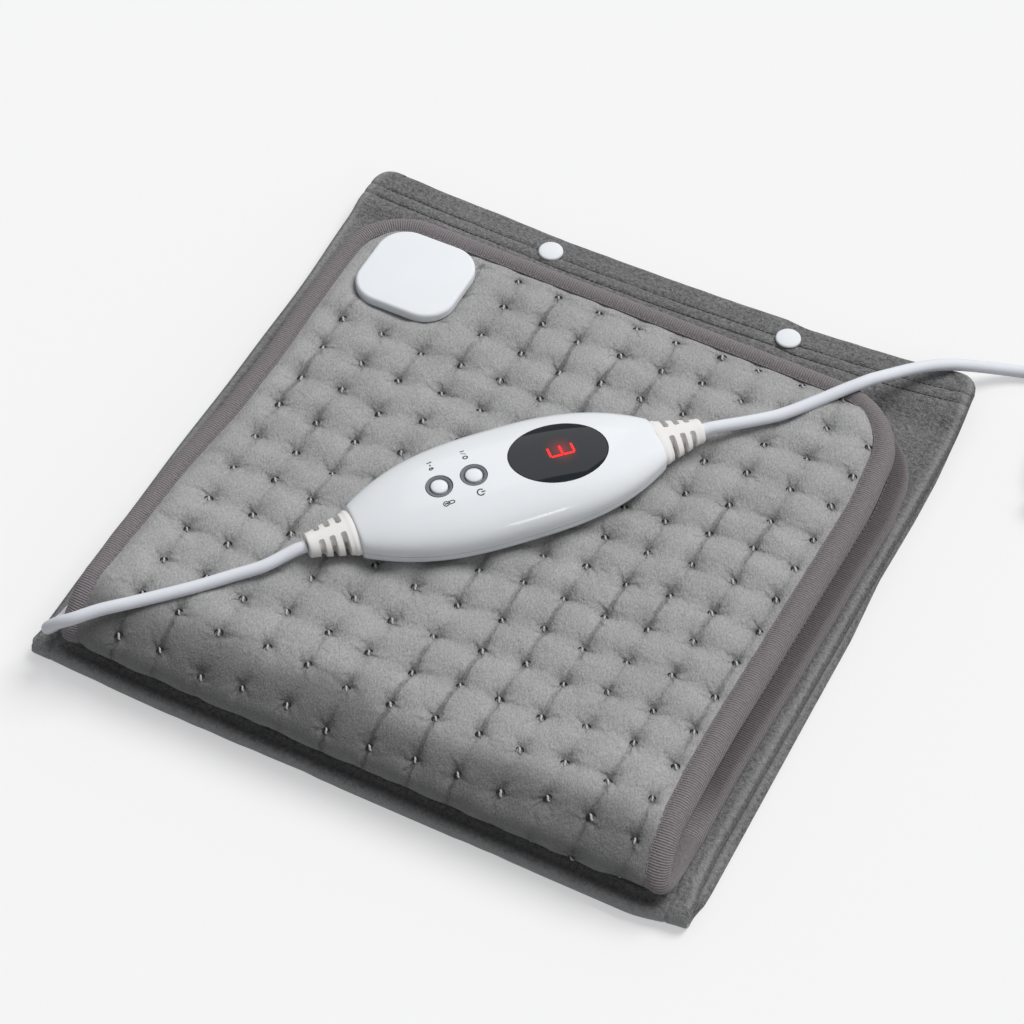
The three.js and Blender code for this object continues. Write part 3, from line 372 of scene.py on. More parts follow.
def moulded_finish(name, colour, roughness, coat=0.0, grain=0.00003):
    """Moulded plastic with a faint skin texture and small changes of gloss"""
    finish = Finish(name)
    cloud = finish.noise(60, 3, 0.5)
    skin = finish.noise(2600, 2, 0.5)
    base = finish.blend(cloud, scaled(colour, 0.97), scaled(colour, 1.02))
    return finish.shade({
        "Base Color": base, "Roughness": (cloud - 0.5) * 0.08 + roughness, "Coat Weight": coat,
        "Coat Roughness": 0.04, "Normal": finish.bump(skin, grain, 0.4), "Specular IOR Level": 0.5,
    })


def cord_finish(name, colour):
    """Soft sheath with slight dimples and handling marks"""
    finish = Finish(name)
    cloud = finish.noise(90, 4, 0.6)
    skin = finish.noise(1500, 2, 0.5)
    base = finish.blend(cloud, scaled(colour, 0.93), scaled(colour, 1.03))
    return finish.shade({
        "Base Color": base, "Roughness": cloud * 0.15 + 0.34,
        "Normal": finish.bump(skin + cloud, 0.0001, 0.4), "Specular IOR Level": 0.45,
    })


def metal_finish(name, colour, roughness):
    """Plated metal with faint streaks"""
    finish = Finish(name)
    streak = finish.noise(700, 3, 0.6)
    base = finish.blend(streak, scaled(colour, 0.85), scaled(colour, 1.05))
    return finish.shade({
        "Base Color": base, "Metallic": 1.0, "Roughness": streak * 0.2 + roughness,
        "Normal": finish.bump(streak, 0.00003, 0.5),
    })


def lit_finish(name, colour):
    """Lit segments: small bright cells with darker gaps between them"""
    finish = Finish(name)
    cells = finish.noise(2200, 1, 0.4)
    glow = finish.blend(cells, scaled(colour, 0.75), scaled(colour, 1.0))
    return finish.shade({
        "Base Color": scaled(colour, 0.4), "Emission Color": glow, "Emission Strength": 2.2, "Roughness": 0.4,
    })


def window_finish(name, settings):
    """Smoked plastic with a faint glow round the lit digit"""
    finish = Finish(name)
    where = finish.place()
    centre = Vector((GLOW["s"] * MM, 0, GLOW["z"] * MM))
    centre.rotate(Matrix.Rotation(CONTROLLER["angle"], 3, "Z"))
    centre += Vector((CONTROLLER["x"] * MM, CONTROLLER["y"] * MM, 0))
    values = {0: where, 1: tuple(centre)}
    distance = finish.node("ShaderNodeVectorMath", {"operation": "DISTANCE"}, values, "Value")
    glow = (1 - distance * (1 / GLOW["reach"] / MM)).clamped()
    cloud = finish.noise(700, 2, 0.5)
    light = finish.blend(glow * glow * (cloud * 0.4 + 0.8), (0, 0, 0), tuple(settings.lit))
    return finish.shade({
        "Base Color": tuple(settings.window), "Roughness": cloud * 0.02 + 0.04, "Emission Color": light,
        "Emission Strength": 0.28, "Coat Weight": 0.3, "Coat Roughness": 0.02, "Specular IOR Level": 0.5,
    })


NODE_FINISHES = {
    "board_green": lambda: moulded_finish("board_laminate", tone(47, 107, 69), 0.45),
    "component_black": lambda: moulded_finish("component_case", tone(34, 34, 36), 0.5),
    "component_yellow": lambda: moulded_finish("capacitor_case", tone(210, 176, 74), 0.5),
    "metal": lambda: metal_finish("plated_metal", tone(190, 190, 194), 0.25),
    "carrier_felt": lambda: felt_finish("carrier_cloth", tone(216, 214, 208), 500),
    "wire_sleeve": lambda: moulded_finish("wire_rubber", tone(201, 194, 180), 0.55),
    "relief_white": lambda: moulded_finish("base_plastic", tone(236, 234, 230), 0.45),
    "white_gloss": lambda: moulded_finish("hidden_plastic", tone(233, 236, 240), 0.3),
    "cord_white": lambda: moulded_finish("plug_plastic", tone(226, 228, 236), 0.35),
}


# Mesh helpers

def clear_selection():
    if bpy.context.object and bpy.context.object.mode != "OBJECT":
        bpy.ops.object.mode_set(mode="OBJECT")
    bpy.ops.object.select_all(action="DESELECT")


def select_only(piece):
    clear_selection()
    piece.select_set(True)
    bpy.context.view_layer.objects.active = piece


def settle_place(piece):
    """Moves the object's place into its mesh"""
    select_only(piece)
    bpy.ops.object.transform_apply(location=True, rotation=True, scale=True)


def apply_modifiers(piece):
    select_only(piece)
    for modifier in list(piece.modifiers):
        bpy.ops.object.modifier_apply(modifier=modifier.name)


def smooth(piece, degrees=None):
    select_only(piece)
    if degrees is None:
        bpy.ops.object.shade_smooth()
    else:
        bpy.ops.object.shade_smooth_by_angle(angle=math.radians(degrees))


def turn_outwards(piece, merge=False):
    """Turns every face outwards, after merging doubles where that is asked for"""
    select_only(piece)
    bpy.ops.object.mode_set(mode="EDIT")
    bpy.ops.mesh.select_all(action="SELECT")
    if merge:
        bpy.ops.mesh.remove_doubles(threshold=0.000002)
    bpy.ops.mesh.normals_make_consistent(inside=False)
    bpy.ops.object.mode_set(mode="OBJECT")


def thicken(piece, thickness, offset=0):
    """Gives a sheet a thickness in millimetres: on both sides of it, or inwards at an offset of -1"""
    wall = piece.modifiers.new("Thickness", "SOLIDIFY")
    wall.thickness = thickness * MM
    wall.offset = offset


def round_edges(piece, width, segments, degrees=30):
    """Bevels the edges that are sharper than the angle, by a width in millimetres"""
    rim = piece.modifiers.new("Rim", "BEVEL")
    rim.width = width * MM
    rim.segments = segments
    rim.limit_method = "ANGLE"
    rim.angle_limit = math.radians(degrees)


def object_from(name, points, faces, edges=()):
    mesh = bpy.data.meshes.new(name)
    mesh.from_pydata([tuple(p) for p in points], list(edges), faces)
    mesh.update()
    piece = bpy.data.objects.new(name, mesh)
    bpy.context.scene.collection.objects.link(piece)
    return piece


def mark(piece, name, values):
    """Keeps one number for each vertex, for the piece's material to read"""
    attribute = piece.data.attributes.new(name, "FLOAT", "POINT")
    attribute.data.foreach_set("value", np.array(values).reshape(-1).astype(np.float32))


def grid_faces(rows, columns, loop_rows=False, loop_columns=False):
    faces = []
    for r in range(rows if loop_rows else rows - 1):
        for c in range(columns if loop_columns else columns - 1):
            r2, c2 = (r + 1) % rows, (c + 1) % columns
            faces.append((r * columns + c, r * columns + c2, r2 * columns + c2, r2 * columns + c))
    return faces


def dress(piece, name, material, nodes=(), body=SET):
    """Names a finished piece, gives it its material and its body, and hides the CAD nodes it stands for"""
    piece.name = name
    piece.data.name = name
    piece.data.materials.clear()
    piece.data.materials.append(material)
    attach(piece, body)
    if nodes:
        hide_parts(*nodes)
    return piece


def spun(profile, steps=48):
    """A turned piece about the z axis, from [radius, height] pairs in millimetres"""
    clear_selection()
    points = [(r * MM, 0.0, z * MM) for r, z in profile]
    piece = object_from("turned", points, [], [(i, i + 1) for i in range(len(points) - 1)])
    select_only(piece)
    bpy.ops.object.mode_set(mode="EDIT")
    bpy.ops.mesh.select_all(action="SELECT")
    bpy.ops.mesh.spin(steps=steps, angle=2 * math.pi, center=(0, 0, 0), axis=(0, 0, 1))
    bpy.ops.object.mode_set(mode="OBJECT")
    turn_outwards(piece, merge=True)
    return piece


def rounded(profile, radius=0.25, steps=3):
    """A profile with its inner corners rounded, in millimetres"""
    result = [profile[0]]
    for before, corner, after in zip(profile, profile[1:], profile[2:]):
        a, b, c = np.array(before, float), np.array(corner, float), np.array(after, float)
        reach = min(radius, np.linalg.norm(a - b) / 2.01, np.linalg.norm(c - b) / 2.01)
        start = b + (a - b) / max(np.linalg.norm(a - b), 1e-9) * reach
        end = b + (c - b) / max(np.linalg.norm(c - b), 1e-9) * reach
        for k in range(steps + 1):
            u = k / steps
            result.append(tuple((1 - u) ** 2 * start + 2 * u * (1 - u) * b + u * u * end))
    result.append(profile[-1])
    return result


def bar_points(start, end, radius, sides=6):
    """Points and faces of a short rounded stitch from start to end"""
    start, end = np.array(start), np.array(end)
    axis = (end - start) / np.linalg.norm(end - start)
    side = np.cross(axis, [0.0, 0.0, 1.0])
    if np.linalg.norm(side) < 1e-6:
        side = np.array([1.0, 0, 0])
    side /= np.linalg.norm(side)
    up = np.cross(side, axis)
    shape = ((0, 0.45), (0.15, 0.95), (0.5, 1.1), (0.85, 0.95), (1, 0.45))
    rings = []
    for f, r in shape:
        for k in range(sides):
            a = 2 * math.pi * k / sides
            bulge = up * radius * 0.9 * math.sin(math.pi * f)
            ring = side * math.cos(a) + up * math.sin(a)
            rings.append(start + (end - start) * f + bulge + r * radius * ring)
    faces = grid_faces(len(shape), sides, False, True)
    faces += [tuple(range(sides))[::-1], tuple(range(len(rings) - sides, len(rings)))]
    return rings, faces


def stitch_row(line, pitch, radius, first=0.1, last=0.88):
    """Stitches along a line, each filling the shares of its pitch from first to last"""
    marks = resampled(line, pitch)
    return [
        bar_points(a + (b - a) * first, a + (b - a) * last, radius, 5) for a, b in zip(marks[:-1], marks[1:])
    ]


def tube_points(path, radius, sides):
    """Points and faces of a closed tube along a path"""
    path = [np.array(p, float) for p in path]
    points, side = [], None
    for i, p in enumerate(path):
        tangent = path[min(i + 1, len(path) - 1)] - path[max(i - 1, 0)]
        tangent /= np.linalg.norm(tangent)
        if side is None:
            side = np.cross(tangent, [0.3, 0.2, 0.93])
        side = side - tangent * side.dot(tangent)
        side /= np.linalg.norm(side)
        up = np.cross(tangent, side)
        for k in range(sides):
            a = 2 * math.pi * k / sides
            points.append(p + radius * (side * math.cos(a) + up * math.sin(a)))
    faces = grid_faces(len(path), sides, False, True)
    faces += [tuple(range(sides))[::-1], tuple(range(len(points) - sides, len(points)))]
    return points, faces


def resampled(points, step):
    """Points at even distances along a line, about a step apart"""
    points = np.array(points)
    lengths = np.concatenate([[0], np.cumsum(np.linalg.norm(np.diff(points, axis=0), axis=1))])
    wanted = np.linspace(0, lengths[-1], max(2, int(round(lengths[-1] / step)) + 1))
    return np.stack([np.interp(wanted, lengths, points[:, k]) for k in range(3)], axis=1)


def many(name, parts, material, body=SET):
    """One piece from many small shapes"""
    points, faces = [], []
    for part_points, part_faces in parts:
        offset = len(points)
        points += [tuple(p) for p in part_points]
        faces += [tuple(i + offset for i in face) for face in part_faces]
    piece = object_from(name, np.array(points) * MM, faces)
    smooth(piece)
    return dress(piece, name, material, body=body)


def smoothstep(value):
    """Rises smoothly from 0 to 1 while the value does, and stays level outside that"""
    value = np.clip(value, 0, 1)
    return value * value * (3 - 2 * value)


def bell(distance, width):
    """1 at no distance, and falling away over the width on both sides"""
    return np.exp(-((distance / width) ** 2))


def waves(x, y, size, seed):
    """Smooth, uneven waves from about -1 to 1 with a length of about size"""
    rng = np.random.default_rng(seed)
    total = 0
    for _ in range(7):
        angle, phase = rng.uniform(0, 2 * np.pi, 2)
        length = size * rng.uniform(0.6, 1.6)
        total = total + np.sin((x * np.cos(angle) + y * np.sin(angle)) * 2 * np.pi / length + phase)
    return total / 3.5


# Building steps

class Builder(bpy.types.Operator):
    """Base of the building steps"""
    bl_options = {"REGISTER", "UNDO"}

    def execute(self, context):
        self.build(context.scene)
        return {"FINISHED"}


# The folded sheets that the pad and the cover are made of, in millimetres

def past_pad(y):
    """0 under the pad, rising to 1 towards the mouth, where the cover lies free of it"""
    return smoothstep((y - 134) / 12)


class FoldedSheet:
    """An upper leaf, a turn at the front and a lower leaf, with n the distance outwards"""

    def __init__(
        self, low, high, front, backs, lift=0.0, skin=0.0, bow=None, reach=None, droop=0.0, power=1.0,
    ):
        self.low = low
        self.high = high
        self.front = front
        self.backs = backs
        self.lift = lift
        self.bow = bow or (lambda x: 0 * x)
        self.reach = reach
        self.droop = droop
        self.power = power
        self.shares = np.linspace(0, 1, 201)
        line = np.array([self.turn(g, np.array([0.0]), skin)[0] for g in self.shares])
        self.lengths = np.concatenate([[0], np.cumsum(np.linalg.norm(np.diff(line, axis=0), axis=1))])

    def radius(self, x):
        return (self.high(x) - self.low) / 2

    def turn_y(self, x):
        """Where the turn begins"""
        return self.front + self.bow(x) + (self.reach or self.radius(x))

    def turn_shares(self, count):
        """Shares of the turn that lie at even distances along the cloth"""
        return np.interp(np.linspace(0, self.lengths[-1], count + 1), self.lengths, self.shares)[:-1]

    def turn(self, g, x, n):
        """Points of the turn, which reaches further forward than it is high, and is fullest low down"""
        angle = np.pi * (0.5 - g)
        middle = self.low + self.radius(x) - self.droop * smoothstep((n + 5) / 10)
        top, bottom = self.high(x) + n - middle, middle - self.low + n
        forward = ((self.reach or self.radius(x)) + n) * max(0.0, math.cos(angle)) ** self.power
        height = (top if angle > 0 else bottom) * math.copysign(abs(math.sin(angle)) ** self.power, angle)
        return np.stack([x, self.turn_y(x) - forward, middle + height], axis=-1)

    def on_leaf(self, leaf, x, y, n):
        """Points of the upper or the lower leaf, over x and y"""
        if leaf == "upper":
            return np.stack([x, y, self.high(x) + self.lift * past_pad(y) + n], axis=-1)
        return np.stack([x, y, self.low - n + 0 * x], axis=-1)

    def at(self, leaf, g, x, n):
        """Points at a share g of a leaf, with the length of cloth from the upper back edge"""
        start = self.turn_y(x)
        back = self.backs["upper"]
        top = back - start
        if leaf == "turn":
            return self.turn(g, x, n + 0 * x), top + float(np.interp(g, self.shares, self.lengths))
        if leaf == "upper":
            y = back + (start - back) * g
            return self.on_leaf(leaf, x, y, n), back - y
        y = start + (self.backs["lower"] - start) * g
        return self.on_leaf(leaf, x, y, n), top + self.lengths[-1] + y - start


# Pad

PAD_BACKS = {"upper": 126.5, "lower": 123.5}
PAD_EDGE = 5.2
PAD_FRONT = -162.5
PAD = FoldedSheet(
    15.2, lambda x: 30 - 0.02 * x, PAD_FRONT + PAD_EDGE, PAD_BACKS, skin=4.5,
    bow=lambda x: 1.6 * smoothstep((-x - 112) / 38) + 3.0 * smoothstep((x - 112) / 40),
    reach=25.0, droop=3.0, power=1.22,
)
# The left and right edges of each leaf, at the front and at the back
PAD_SIDES = {
    "upper": ((-147, -143.5), (143.8, 144.4)),
    "lower": ((-147, -147.5), (151.2, 153.5)),
}
# How far the left and right edges lie outside their straight lines: the places in y, and the distances there
WANDER = {
    ("upper", 0): (
        [-158, -140, -113, -61, -23, 20, 50, 85, 104],
        [0, 1.6, 2.3, 1.3, -1.8, -1.8, -0.4, 0.5, 0],
    ),
    ("upper", 1): (
        [-158, -137, -100, -78, 18, 57, 70, 85, 97, 126],
        [0.3, 0.7, 0.2, 0.3, 3.2, 4.4, 3.9, 2.5, 1.8, 0],
    ),
    ("lower", 0): ([-158, 133], [0, 0]),
    ("lower", 1): (
        [-158, -124, -89, -30, 34, 68, 83, 123],
        [0.3, 0.2, -0.3, 1.8, 3.2, 4.4, 2.8, 1.5],
    ),
}
CORNERS = (34, 40)
# How far in from the tape's edge the plies end, and how far off the middle of their leaf they lie there
PLY_INSET = 4
PLY_HEIGHT = 4.0
TACK_MIDDLE = 7.7
TACK_START = 16.5
TACK_COLUMNS = range(-6, 7)
TACK_ROWS = 17
SWELL_FRAMES = 20
PLATE = {"x": -100.4, "y": 88.7, "width": 51.0, "depth": 49.0, "corner": 15.0, "under": 4.9, "top": 9.4}
PLATE_LEVEL = PAD.high(PLATE["x"])


def straight_sides(leaf, y):
    """Left and right edges of a leaf of the pad, before its back corners are rounded"""
    share = (y - PAD_FRONT) / (PAD_BACKS[leaf] - PAD_FRONT)
    left, right = [front + (back - front) * share for front, back in PAD_SIDES[leaf]]
    return left - float(np.interp(y, *WANDER[leaf, 0])), right + float(np.interp(y, *WANDER[leaf, 1]))


def turn_sides(g):
    """Left and right edges of the pad's turn, which widens to the right towards the lower leaf"""
    left = PAD_SIDES["upper"][0][0]
    right, lower_right = PAD_SIDES["upper"][1][0], PAD_SIDES["lower"][1][0]
    right += (lower_right - right) * float(smoothstep(g / 0.66))
    half = "upper" if g < 0.5 else "lower"
    outside = []
    for side, x in enumerate((-147.0, 148.0)):
        y = float(PAD.turn(g, np.array([x]), 0.0)[0][1])
        outside.append(float(np.interp(y, *WANDER[half, side])))
    return left - outside[0], right + outside[1]


def pad_sides(leaf, g, inset):
    """Left and right edges of the pad's outline at a share g of a leaf, drawn in by inset"""
    if leaf == "turn":
        left, right = turn_sides(g)
        return left + inset, right - inset
    back, front = PAD_BACKS[leaf], float(PAD.turn_y(0.0))
    y = back + (front - back) * g if leaf == "upper" else front + (back - front) * g
    cuts = []
    for corner in CORNERS:
        into, reach = y - (back - corner), max(0.0, corner - inset)
        round_off = reach - math.sqrt(max(0.0, reach * reach - into * into)) if into > 0 else 0.0
        cuts.append(round_off + inset)
    left, right = straight_sides(leaf, y)
    return left + cuts[0], right - cuts[1]


def leaf_shares(count, inset, leaf):
    """Even shares of a leaf, from inset at its back edge to the turn"""
    first = inset / (PAD_BACKS[leaf] - float(PAD.turn_y(0.0)))
    shares = [first + (1 - first) * k / count for k in range(count)]
    return shares if leaf == "upper" else [1 - s for s in reversed(shares)]


def pad_row(leaf, g, count, inset):
    """A row across the pad: x, the length of cloth from the upper back edge, and the distance to the sides"""
    left, right = pad_sides(leaf, g, inset)
    x = left + (right - left) * np.linspace(0, 1, count)
    t = PAD.at(leaf, g, x, 0.0 * x)[1]
    outer = pad_sides(leaf, g, 0)
    return x, t, np.minimum(x - outer[0], outer[1] - x)


def tack_shear(x, t):
    """How far the tacks lie left of and behind their even places, most at the front right"""
    right, front = smoothstep((x - 10) / 110), smoothstep((t - 60) / 200)
    return right * (1.4 + 3.8 * front), right * (4.2 + 5.6 * front)


def tacks(settings):
    """Places of the tacks: across in x, and along as cloth length from the upper back edge"""
    rng = np.random.default_rng(11)
    across, along = settings.pitch_across / MM, settings.pitch_along / MM
    places = []
    for column in TACK_COLUMNS:
        stagger = rng.uniform(-2, 2)
        for row in range(TACK_ROWS):
            x = TACK_MIDDLE + across * column + rng.uniform(-0.9, 0.9)
            t = TACK_START + along * row + (stagger + rng.uniform(-1.2, 1.2)) * min(1, row)
            aside, back = tack_shear(x, t)
            places.append((x - float(aside), t - float(back)))
    return [p for p in places if not near_plate(p[0], PAD_BACKS["upper"] - p[1], 2)]


def near_plate(x, y, margin):
    beside = np.abs(x - PLATE["x"]) < PLATE["width"] / 2 + margin
    along = np.abs(y - PLATE["y"]) < PLATE["depth"] / 2 + margin
    return beside & along


def plate_distance(x, y):
    """Distance outside the plate's rounded outline"""
    dx = np.abs(x - PLATE["x"]) - PLATE["width"] / 2 + PLATE["corner"]
    dy = np.abs(y - PLATE["y"]) - PLATE["depth"] / 2 + PLATE["corner"]
    outside = np.hypot(np.maximum(dx, 0), np.maximum(dy, 0))
    return outside + np.minimum(np.maximum(dx, dy), 0) - PLATE["corner"]


def to_segment(x, t, start, end):
    """Distance in the cloth from points to a straight line between two tacks"""
    ax, at = end[0] - start[0], end[1] - start[1]
    share = np.clip(((x - start[0]) * ax + (t - start[1]) * at) / (ax * ax + at * at), 0, 1)
    return np.hypot(x - start[0] - share * ax, t - start[1] - share * at)


def valleys(x, t, places, pitch):
    """How deep the pad dips along the lines between neighbouring tacks"""
    rng = np.random.default_rng(17)
    depth = np.zeros(x.shape)
    for px, pt in places:
        for qx, qt in places:
            down = abs(qx - px) < 0.3 * pitch and 0 < qt - pt < 1.4 * pitch
            beside = abs(qt - pt) < 0.35 * pitch and 0 < qx - px < 1.4 * pitch
            if not (down or beside):
                continue
            away = to_segment(x, t, (px, pt), (qx, qt))
            if down:
                dip = rng.uniform(0.1, 1.0) * bell(away, 1.5) + 0.3 * bell(away, 4)
            else:
                dip = rng.uniform(0.1, 0.5) * bell(away, 2.4) + 0.35 * bell(away, 4.5)
            depth = np.maximum(depth, dip)
    return depth


def quilt_relief(x, t, edge, settings, places):
    """Height of the quilting before it swells, the distance to the nearest tack, and how much shade is
    painted in its pits and valleys, with a darker seam line
    """
    nearest = np.min([np.hypot(x - px, t - pt) for px, pt in places], axis=0)
    valley = valleys(x, t, places, settings.pitch_across / MM)
    dimple = 3.3 * (1 - np.clip(nearest / 12.5, 0, 1) ** 0.62)
    height = settings.crown / MM - dimple - 1.15 * valley * smoothstep(nearest / 6)
    height = height + 0.4 * waves(x, t, 38, 5) + 0.2 * waves(x, t, 13, 6) * smoothstep(nearest / 5)
    held = smoothstep((edge - 9.8) / 8)
    plate = smoothstep((plate_distance(x, PAD_BACKS["upper"] - t) - 0.5) / 6)
    puckers = 0.55 * np.sin((x + 0.9 * t) / 1.9 + 2 * waves(x, t, 30, 9)) * bell(edge - 13.6, 3.2)
    height = PLY_HEIGHT + (height - PLY_HEIGHT) * held * plate + puckers
    # Painted shade in the pits round the tacks and along the valleys
    hollow = 0.8 * bell(nearest, 2.1) + 0.3 * np.clip(valley, 0, 1)
    seam = 1.2 * bell(edge - 11.5, 0.9)
    return height, nearest, np.clip(np.clip(hollow, 0, 1) * held + seam, 0, 1)


def quilt_places(x, t, places, settings):
    """Column and row numbers that run evenly between the tacks, and are whole numbers at each tack"""
    across, along = settings.pitch_across / MM, settings.pitch_along / MM
    columns = {}
    for px, pt in places:
        columns.setdefault(round((px - TACK_MIDDLE) / across), []).append((pt, px))
    keys = sorted(columns)
    lines, numbers = [], []
    for key in keys:
        starts, xs = np.array(sorted(columns[key])).T
        lines.append(np.interp(t, starts, xs))
        count = np.round((starts + tack_shear(xs, starts)[1] - TACK_START) / along)
        reach = [starts[0] - 10 * along, *starts, starts[-1] + 10 * along]
        numbers.append(np.interp(t, reach, [count[0] - 10, *count, count[-1] + 10]))
    lines, numbers = np.array(lines), np.array(numbers)
    column = np.where(x < lines[0], keys[0] + (x - lines[0]) / across, keys[-1] + (x - lines[-1]) / across)
    row = np.where(x < lines[0], numbers[0], numbers[-1])
    for k in range(len(keys) - 1):
        share = (x - lines[k]) / (lines[k + 1] - lines[k])
        inside = (share >= 0) & (share < 1)
        column = np.where(inside, keys[k] + share, column)
        row = np.where(inside, numbers[k] + (numbers[k + 1] - numbers[k]) * share, row)
    return column, row


def pad_face(settings, material):
    """The quilted outer ply. Returns its middle surface and normals, its places and the tacks"""
    places = tacks(settings)
    rows = [("upper", g) for g in leaf_shares(86, PLY_INSET, "upper")]
    rows += [("turn", g) for g in PAD.turn_shares(22)]
    first_flat = len(rows) + 2
    rows += [("lower", g) for g in (0, 0.04, 0.12, 0.3, 0.55, 0.78, 0.88, 0.93, 0.957, 0.9735, 0.986)]
    count = 100
    grid = []
    for leaf, g in rows:
        x, t, edge = pad_row(leaf, g, count, PLY_INSET)
        if leaf == "upper":
            edge = np.minimum(edge, t)
        if leaf == "lower":
            to_back = 276 * (1 - g)
            edge = np.minimum(edge, to_back)
        grid.append((x, t, edge))
    x, t, edge = (np.array(values) for values in zip(*grid))
    height, nearest, hollow = quilt_relief(x, t, edge, settings, places)
    for r in range(len(rows)):
        near_turn = float(smoothstep((t[r].mean() - 225) / 45))
        height[r] += (4.9 - height[r]) * 0.5 * near_turn
    height[first_flat:] = np.minimum(height[first_flat:], 4.6)
    surface = np.array([PAD.at(leaf, g, x[r], height[r])[0] for r, (leaf, g) in enumerate(rows)])
    points = surface.reshape(-1, 3) * MM
    faces = [face[::-1] for face in grid_faces(len(rows), count)]
    held = (edge < 11.8) | (nearest < 1.9) | (plate_distance(x, PAD_BACKS["upper"] - t) < 1)
    held[first_flat:] = True
    points = swell(points, faces, held.reshape(-1), settings.pressure, settings.slack, 0.0024)
    piece = object_from("pad_face", points, faces)
    column, row = quilt_places(x, t, places, settings)
    mark(piece, "hollow", hollow)
    mark(piece, "column", column)
    mark(piece, "row", row)
    mark(piece, "quilted", smoothstep((edge - 11.8) / 5))
    # Painted shade over the front of the fold, for the plush to read
    mark(piece, "fold_shade", smoothstep((t - 253 + 4 * waves(x, t, 60, 14)) / 20))
    settled = np.empty(len(piece.data.vertices) * 3)
    piece.data.vertices.foreach_get("co", settled)
    normals = np.array([v.normal[:] for v in piece.data.vertices])
    thicken(piece, 1.6, -1)
    piece.modifiers.new("Fine", "SUBSURF")
    piece.modifiers["Fine"].levels = 1
    piece.modifiers["Fine"].render_levels = 1
    apply_modifiers(piece)
    smooth(piece)
    dress(piece, "pad_face", material, ["pad_face_ply"])
    return settled.reshape(-1, 3), normals, x.reshape(-1), t.reshape(-1), places


def swell(points, faces, held, pressure, slack, most):
    """Lets a sheet swell as cloth, held at its tacks and edges, by at most about most

    It swells on a copy 100 times larger, which the cloth tool handles better.
    """
    larger = 100
    copy = object_from("swelling", points * larger, faces)
    group = copy.vertex_groups.new(name="held")
    group.add([int(i) for i in np.nonzero(held)[0]], 1.0, "REPLACE")
    scene = bpy.context.scene
    scene.frame_set(1)
    cloth = copy.modifiers.new("Cloth", "CLOTH")
    cloth.point_cache.frame_start = 1
    cloth.point_cache.frame_end = SWELL_FRAMES
    settings = cloth.settings
    settings.quality = 5
    settings.mass = 0.3
    settings.use_pressure = True
    settings.uniform_pressure_force = pressure
    settings.shrink_min = -slack
    settings.effector_weights.gravity = 0
    settings.vertex_group_mass = "held"
    for number in range(1, SWELL_FRAMES + 1):
        scene.frame_set(number)
    result = np.empty(len(points) * 3)
    evaluated = copy.evaluated_get(bpy.context.evaluated_depsgraph_get())
    evaluated.data.vertices.foreach_get("co", result)
    move = result.reshape(-1, 3) / larger - points
    length = np.linalg.norm(move, axis=1, keepdims=True)
    bpy.data.objects.remove(copy)
    scene.frame_set(1)
    return points + move * most * np.tanh(length / most) / np.maximum(length, 1e-9)


def pad_back(settings, material):
    """The quilted ply on the inside of the fold"""
    rows = [("upper", g) for g in leaf_shares(60, PLY_INSET, "upper")]
    rows += [("turn", g) for g in PAD.turn_shares(12)]
    rows += [("lower", g) for g in leaf_shares(60, PLY_INSET, "lower")]
    rows.append(("lower", 1 - PLY_INSET / 281))
    count = 64
    across, along = settings.pitch_across / MM, settings.pitch_along / MM
    lines = []
    for leaf, g in rows:
        x, t, edge = pad_row(leaf, g, count, PLY_INSET)
        puff = np.abs(np.sin((x - TACK_MIDDLE) / across * np.pi) * np.sin(t / along * np.pi)) ** 0.6
        height = PLY_HEIGHT + (1.2 * puff + 0.1 * waves(x, t, 30, 8)) * smoothstep((edge - 9) / 8)
        if leaf == "turn":
            height = PLY_HEIGHT + 0 * x
        lines.append(PAD.at(leaf, g, x, -height)[0])
    piece = object_from("pad_back", np.array(lines).reshape(-1, 3) * MM, grid_faces(len(rows), count))
    thicken(piece, 1.4, -1)
    apply_modifiers(piece)
    smooth(piece)
    dress(piece, "pad_back", material, ["pad_back_ply"])


HEAT_WIRE = {
    "pitch": 22.0, "left": -110.0, "right": 128.0, "first": 60.0, "upper": 9, "lower": 11, "return": -126.0,
}


def wire_route():
    """Back and forth over both leaves, and back to the connector along the left edge"""
    def on_leaf(leaf, x, y):
        return PAD.on_leaf(leaf, np.array([x]), np.array([y]), 0.0)[0]

    def round_turn(x, shares):
        return [PAD.at("turn", g, np.array([x]), 0.0)[0][0] for g in shares]

    pitch = HEAT_WIRE["pitch"]
    bend = pitch / 2
    shares = [*PAD.turn_shares(14), 1.0]
    route, y, side = [], HEAT_WIRE["first"], 1
    for leaf, step in (("upper", -pitch), ("lower", pitch)):
        for k in range(HEAT_WIRE[leaf]):
            start, end = ("left", "right") if side > 0 else ("right", "left")
            route += [on_leaf(leaf, HEAT_WIRE[start], y), on_leaf(leaf, HEAT_WIRE[end], y)]
            if k < HEAT_WIRE[leaf] - 1:
                x = HEAT_WIRE[end] + side * bend * 0.9
                route += [on_leaf(leaf, x, y + share * step) for share in (0.25, 0.75)]
                y += step
            side = -side
        if leaf == "upper":
            route += round_turn(HEAT_WIRE["right"] + bend, shares)
    route.append(on_leaf("lower", HEAT_WIRE["return"], y - 5))
    route += round_turn(HEAT_WIRE["return"], reversed(shares))
    route.append(on_leaf("upper", HEAT_WIRE["return"], HEAT_WIRE["first"] + 8))
    return route


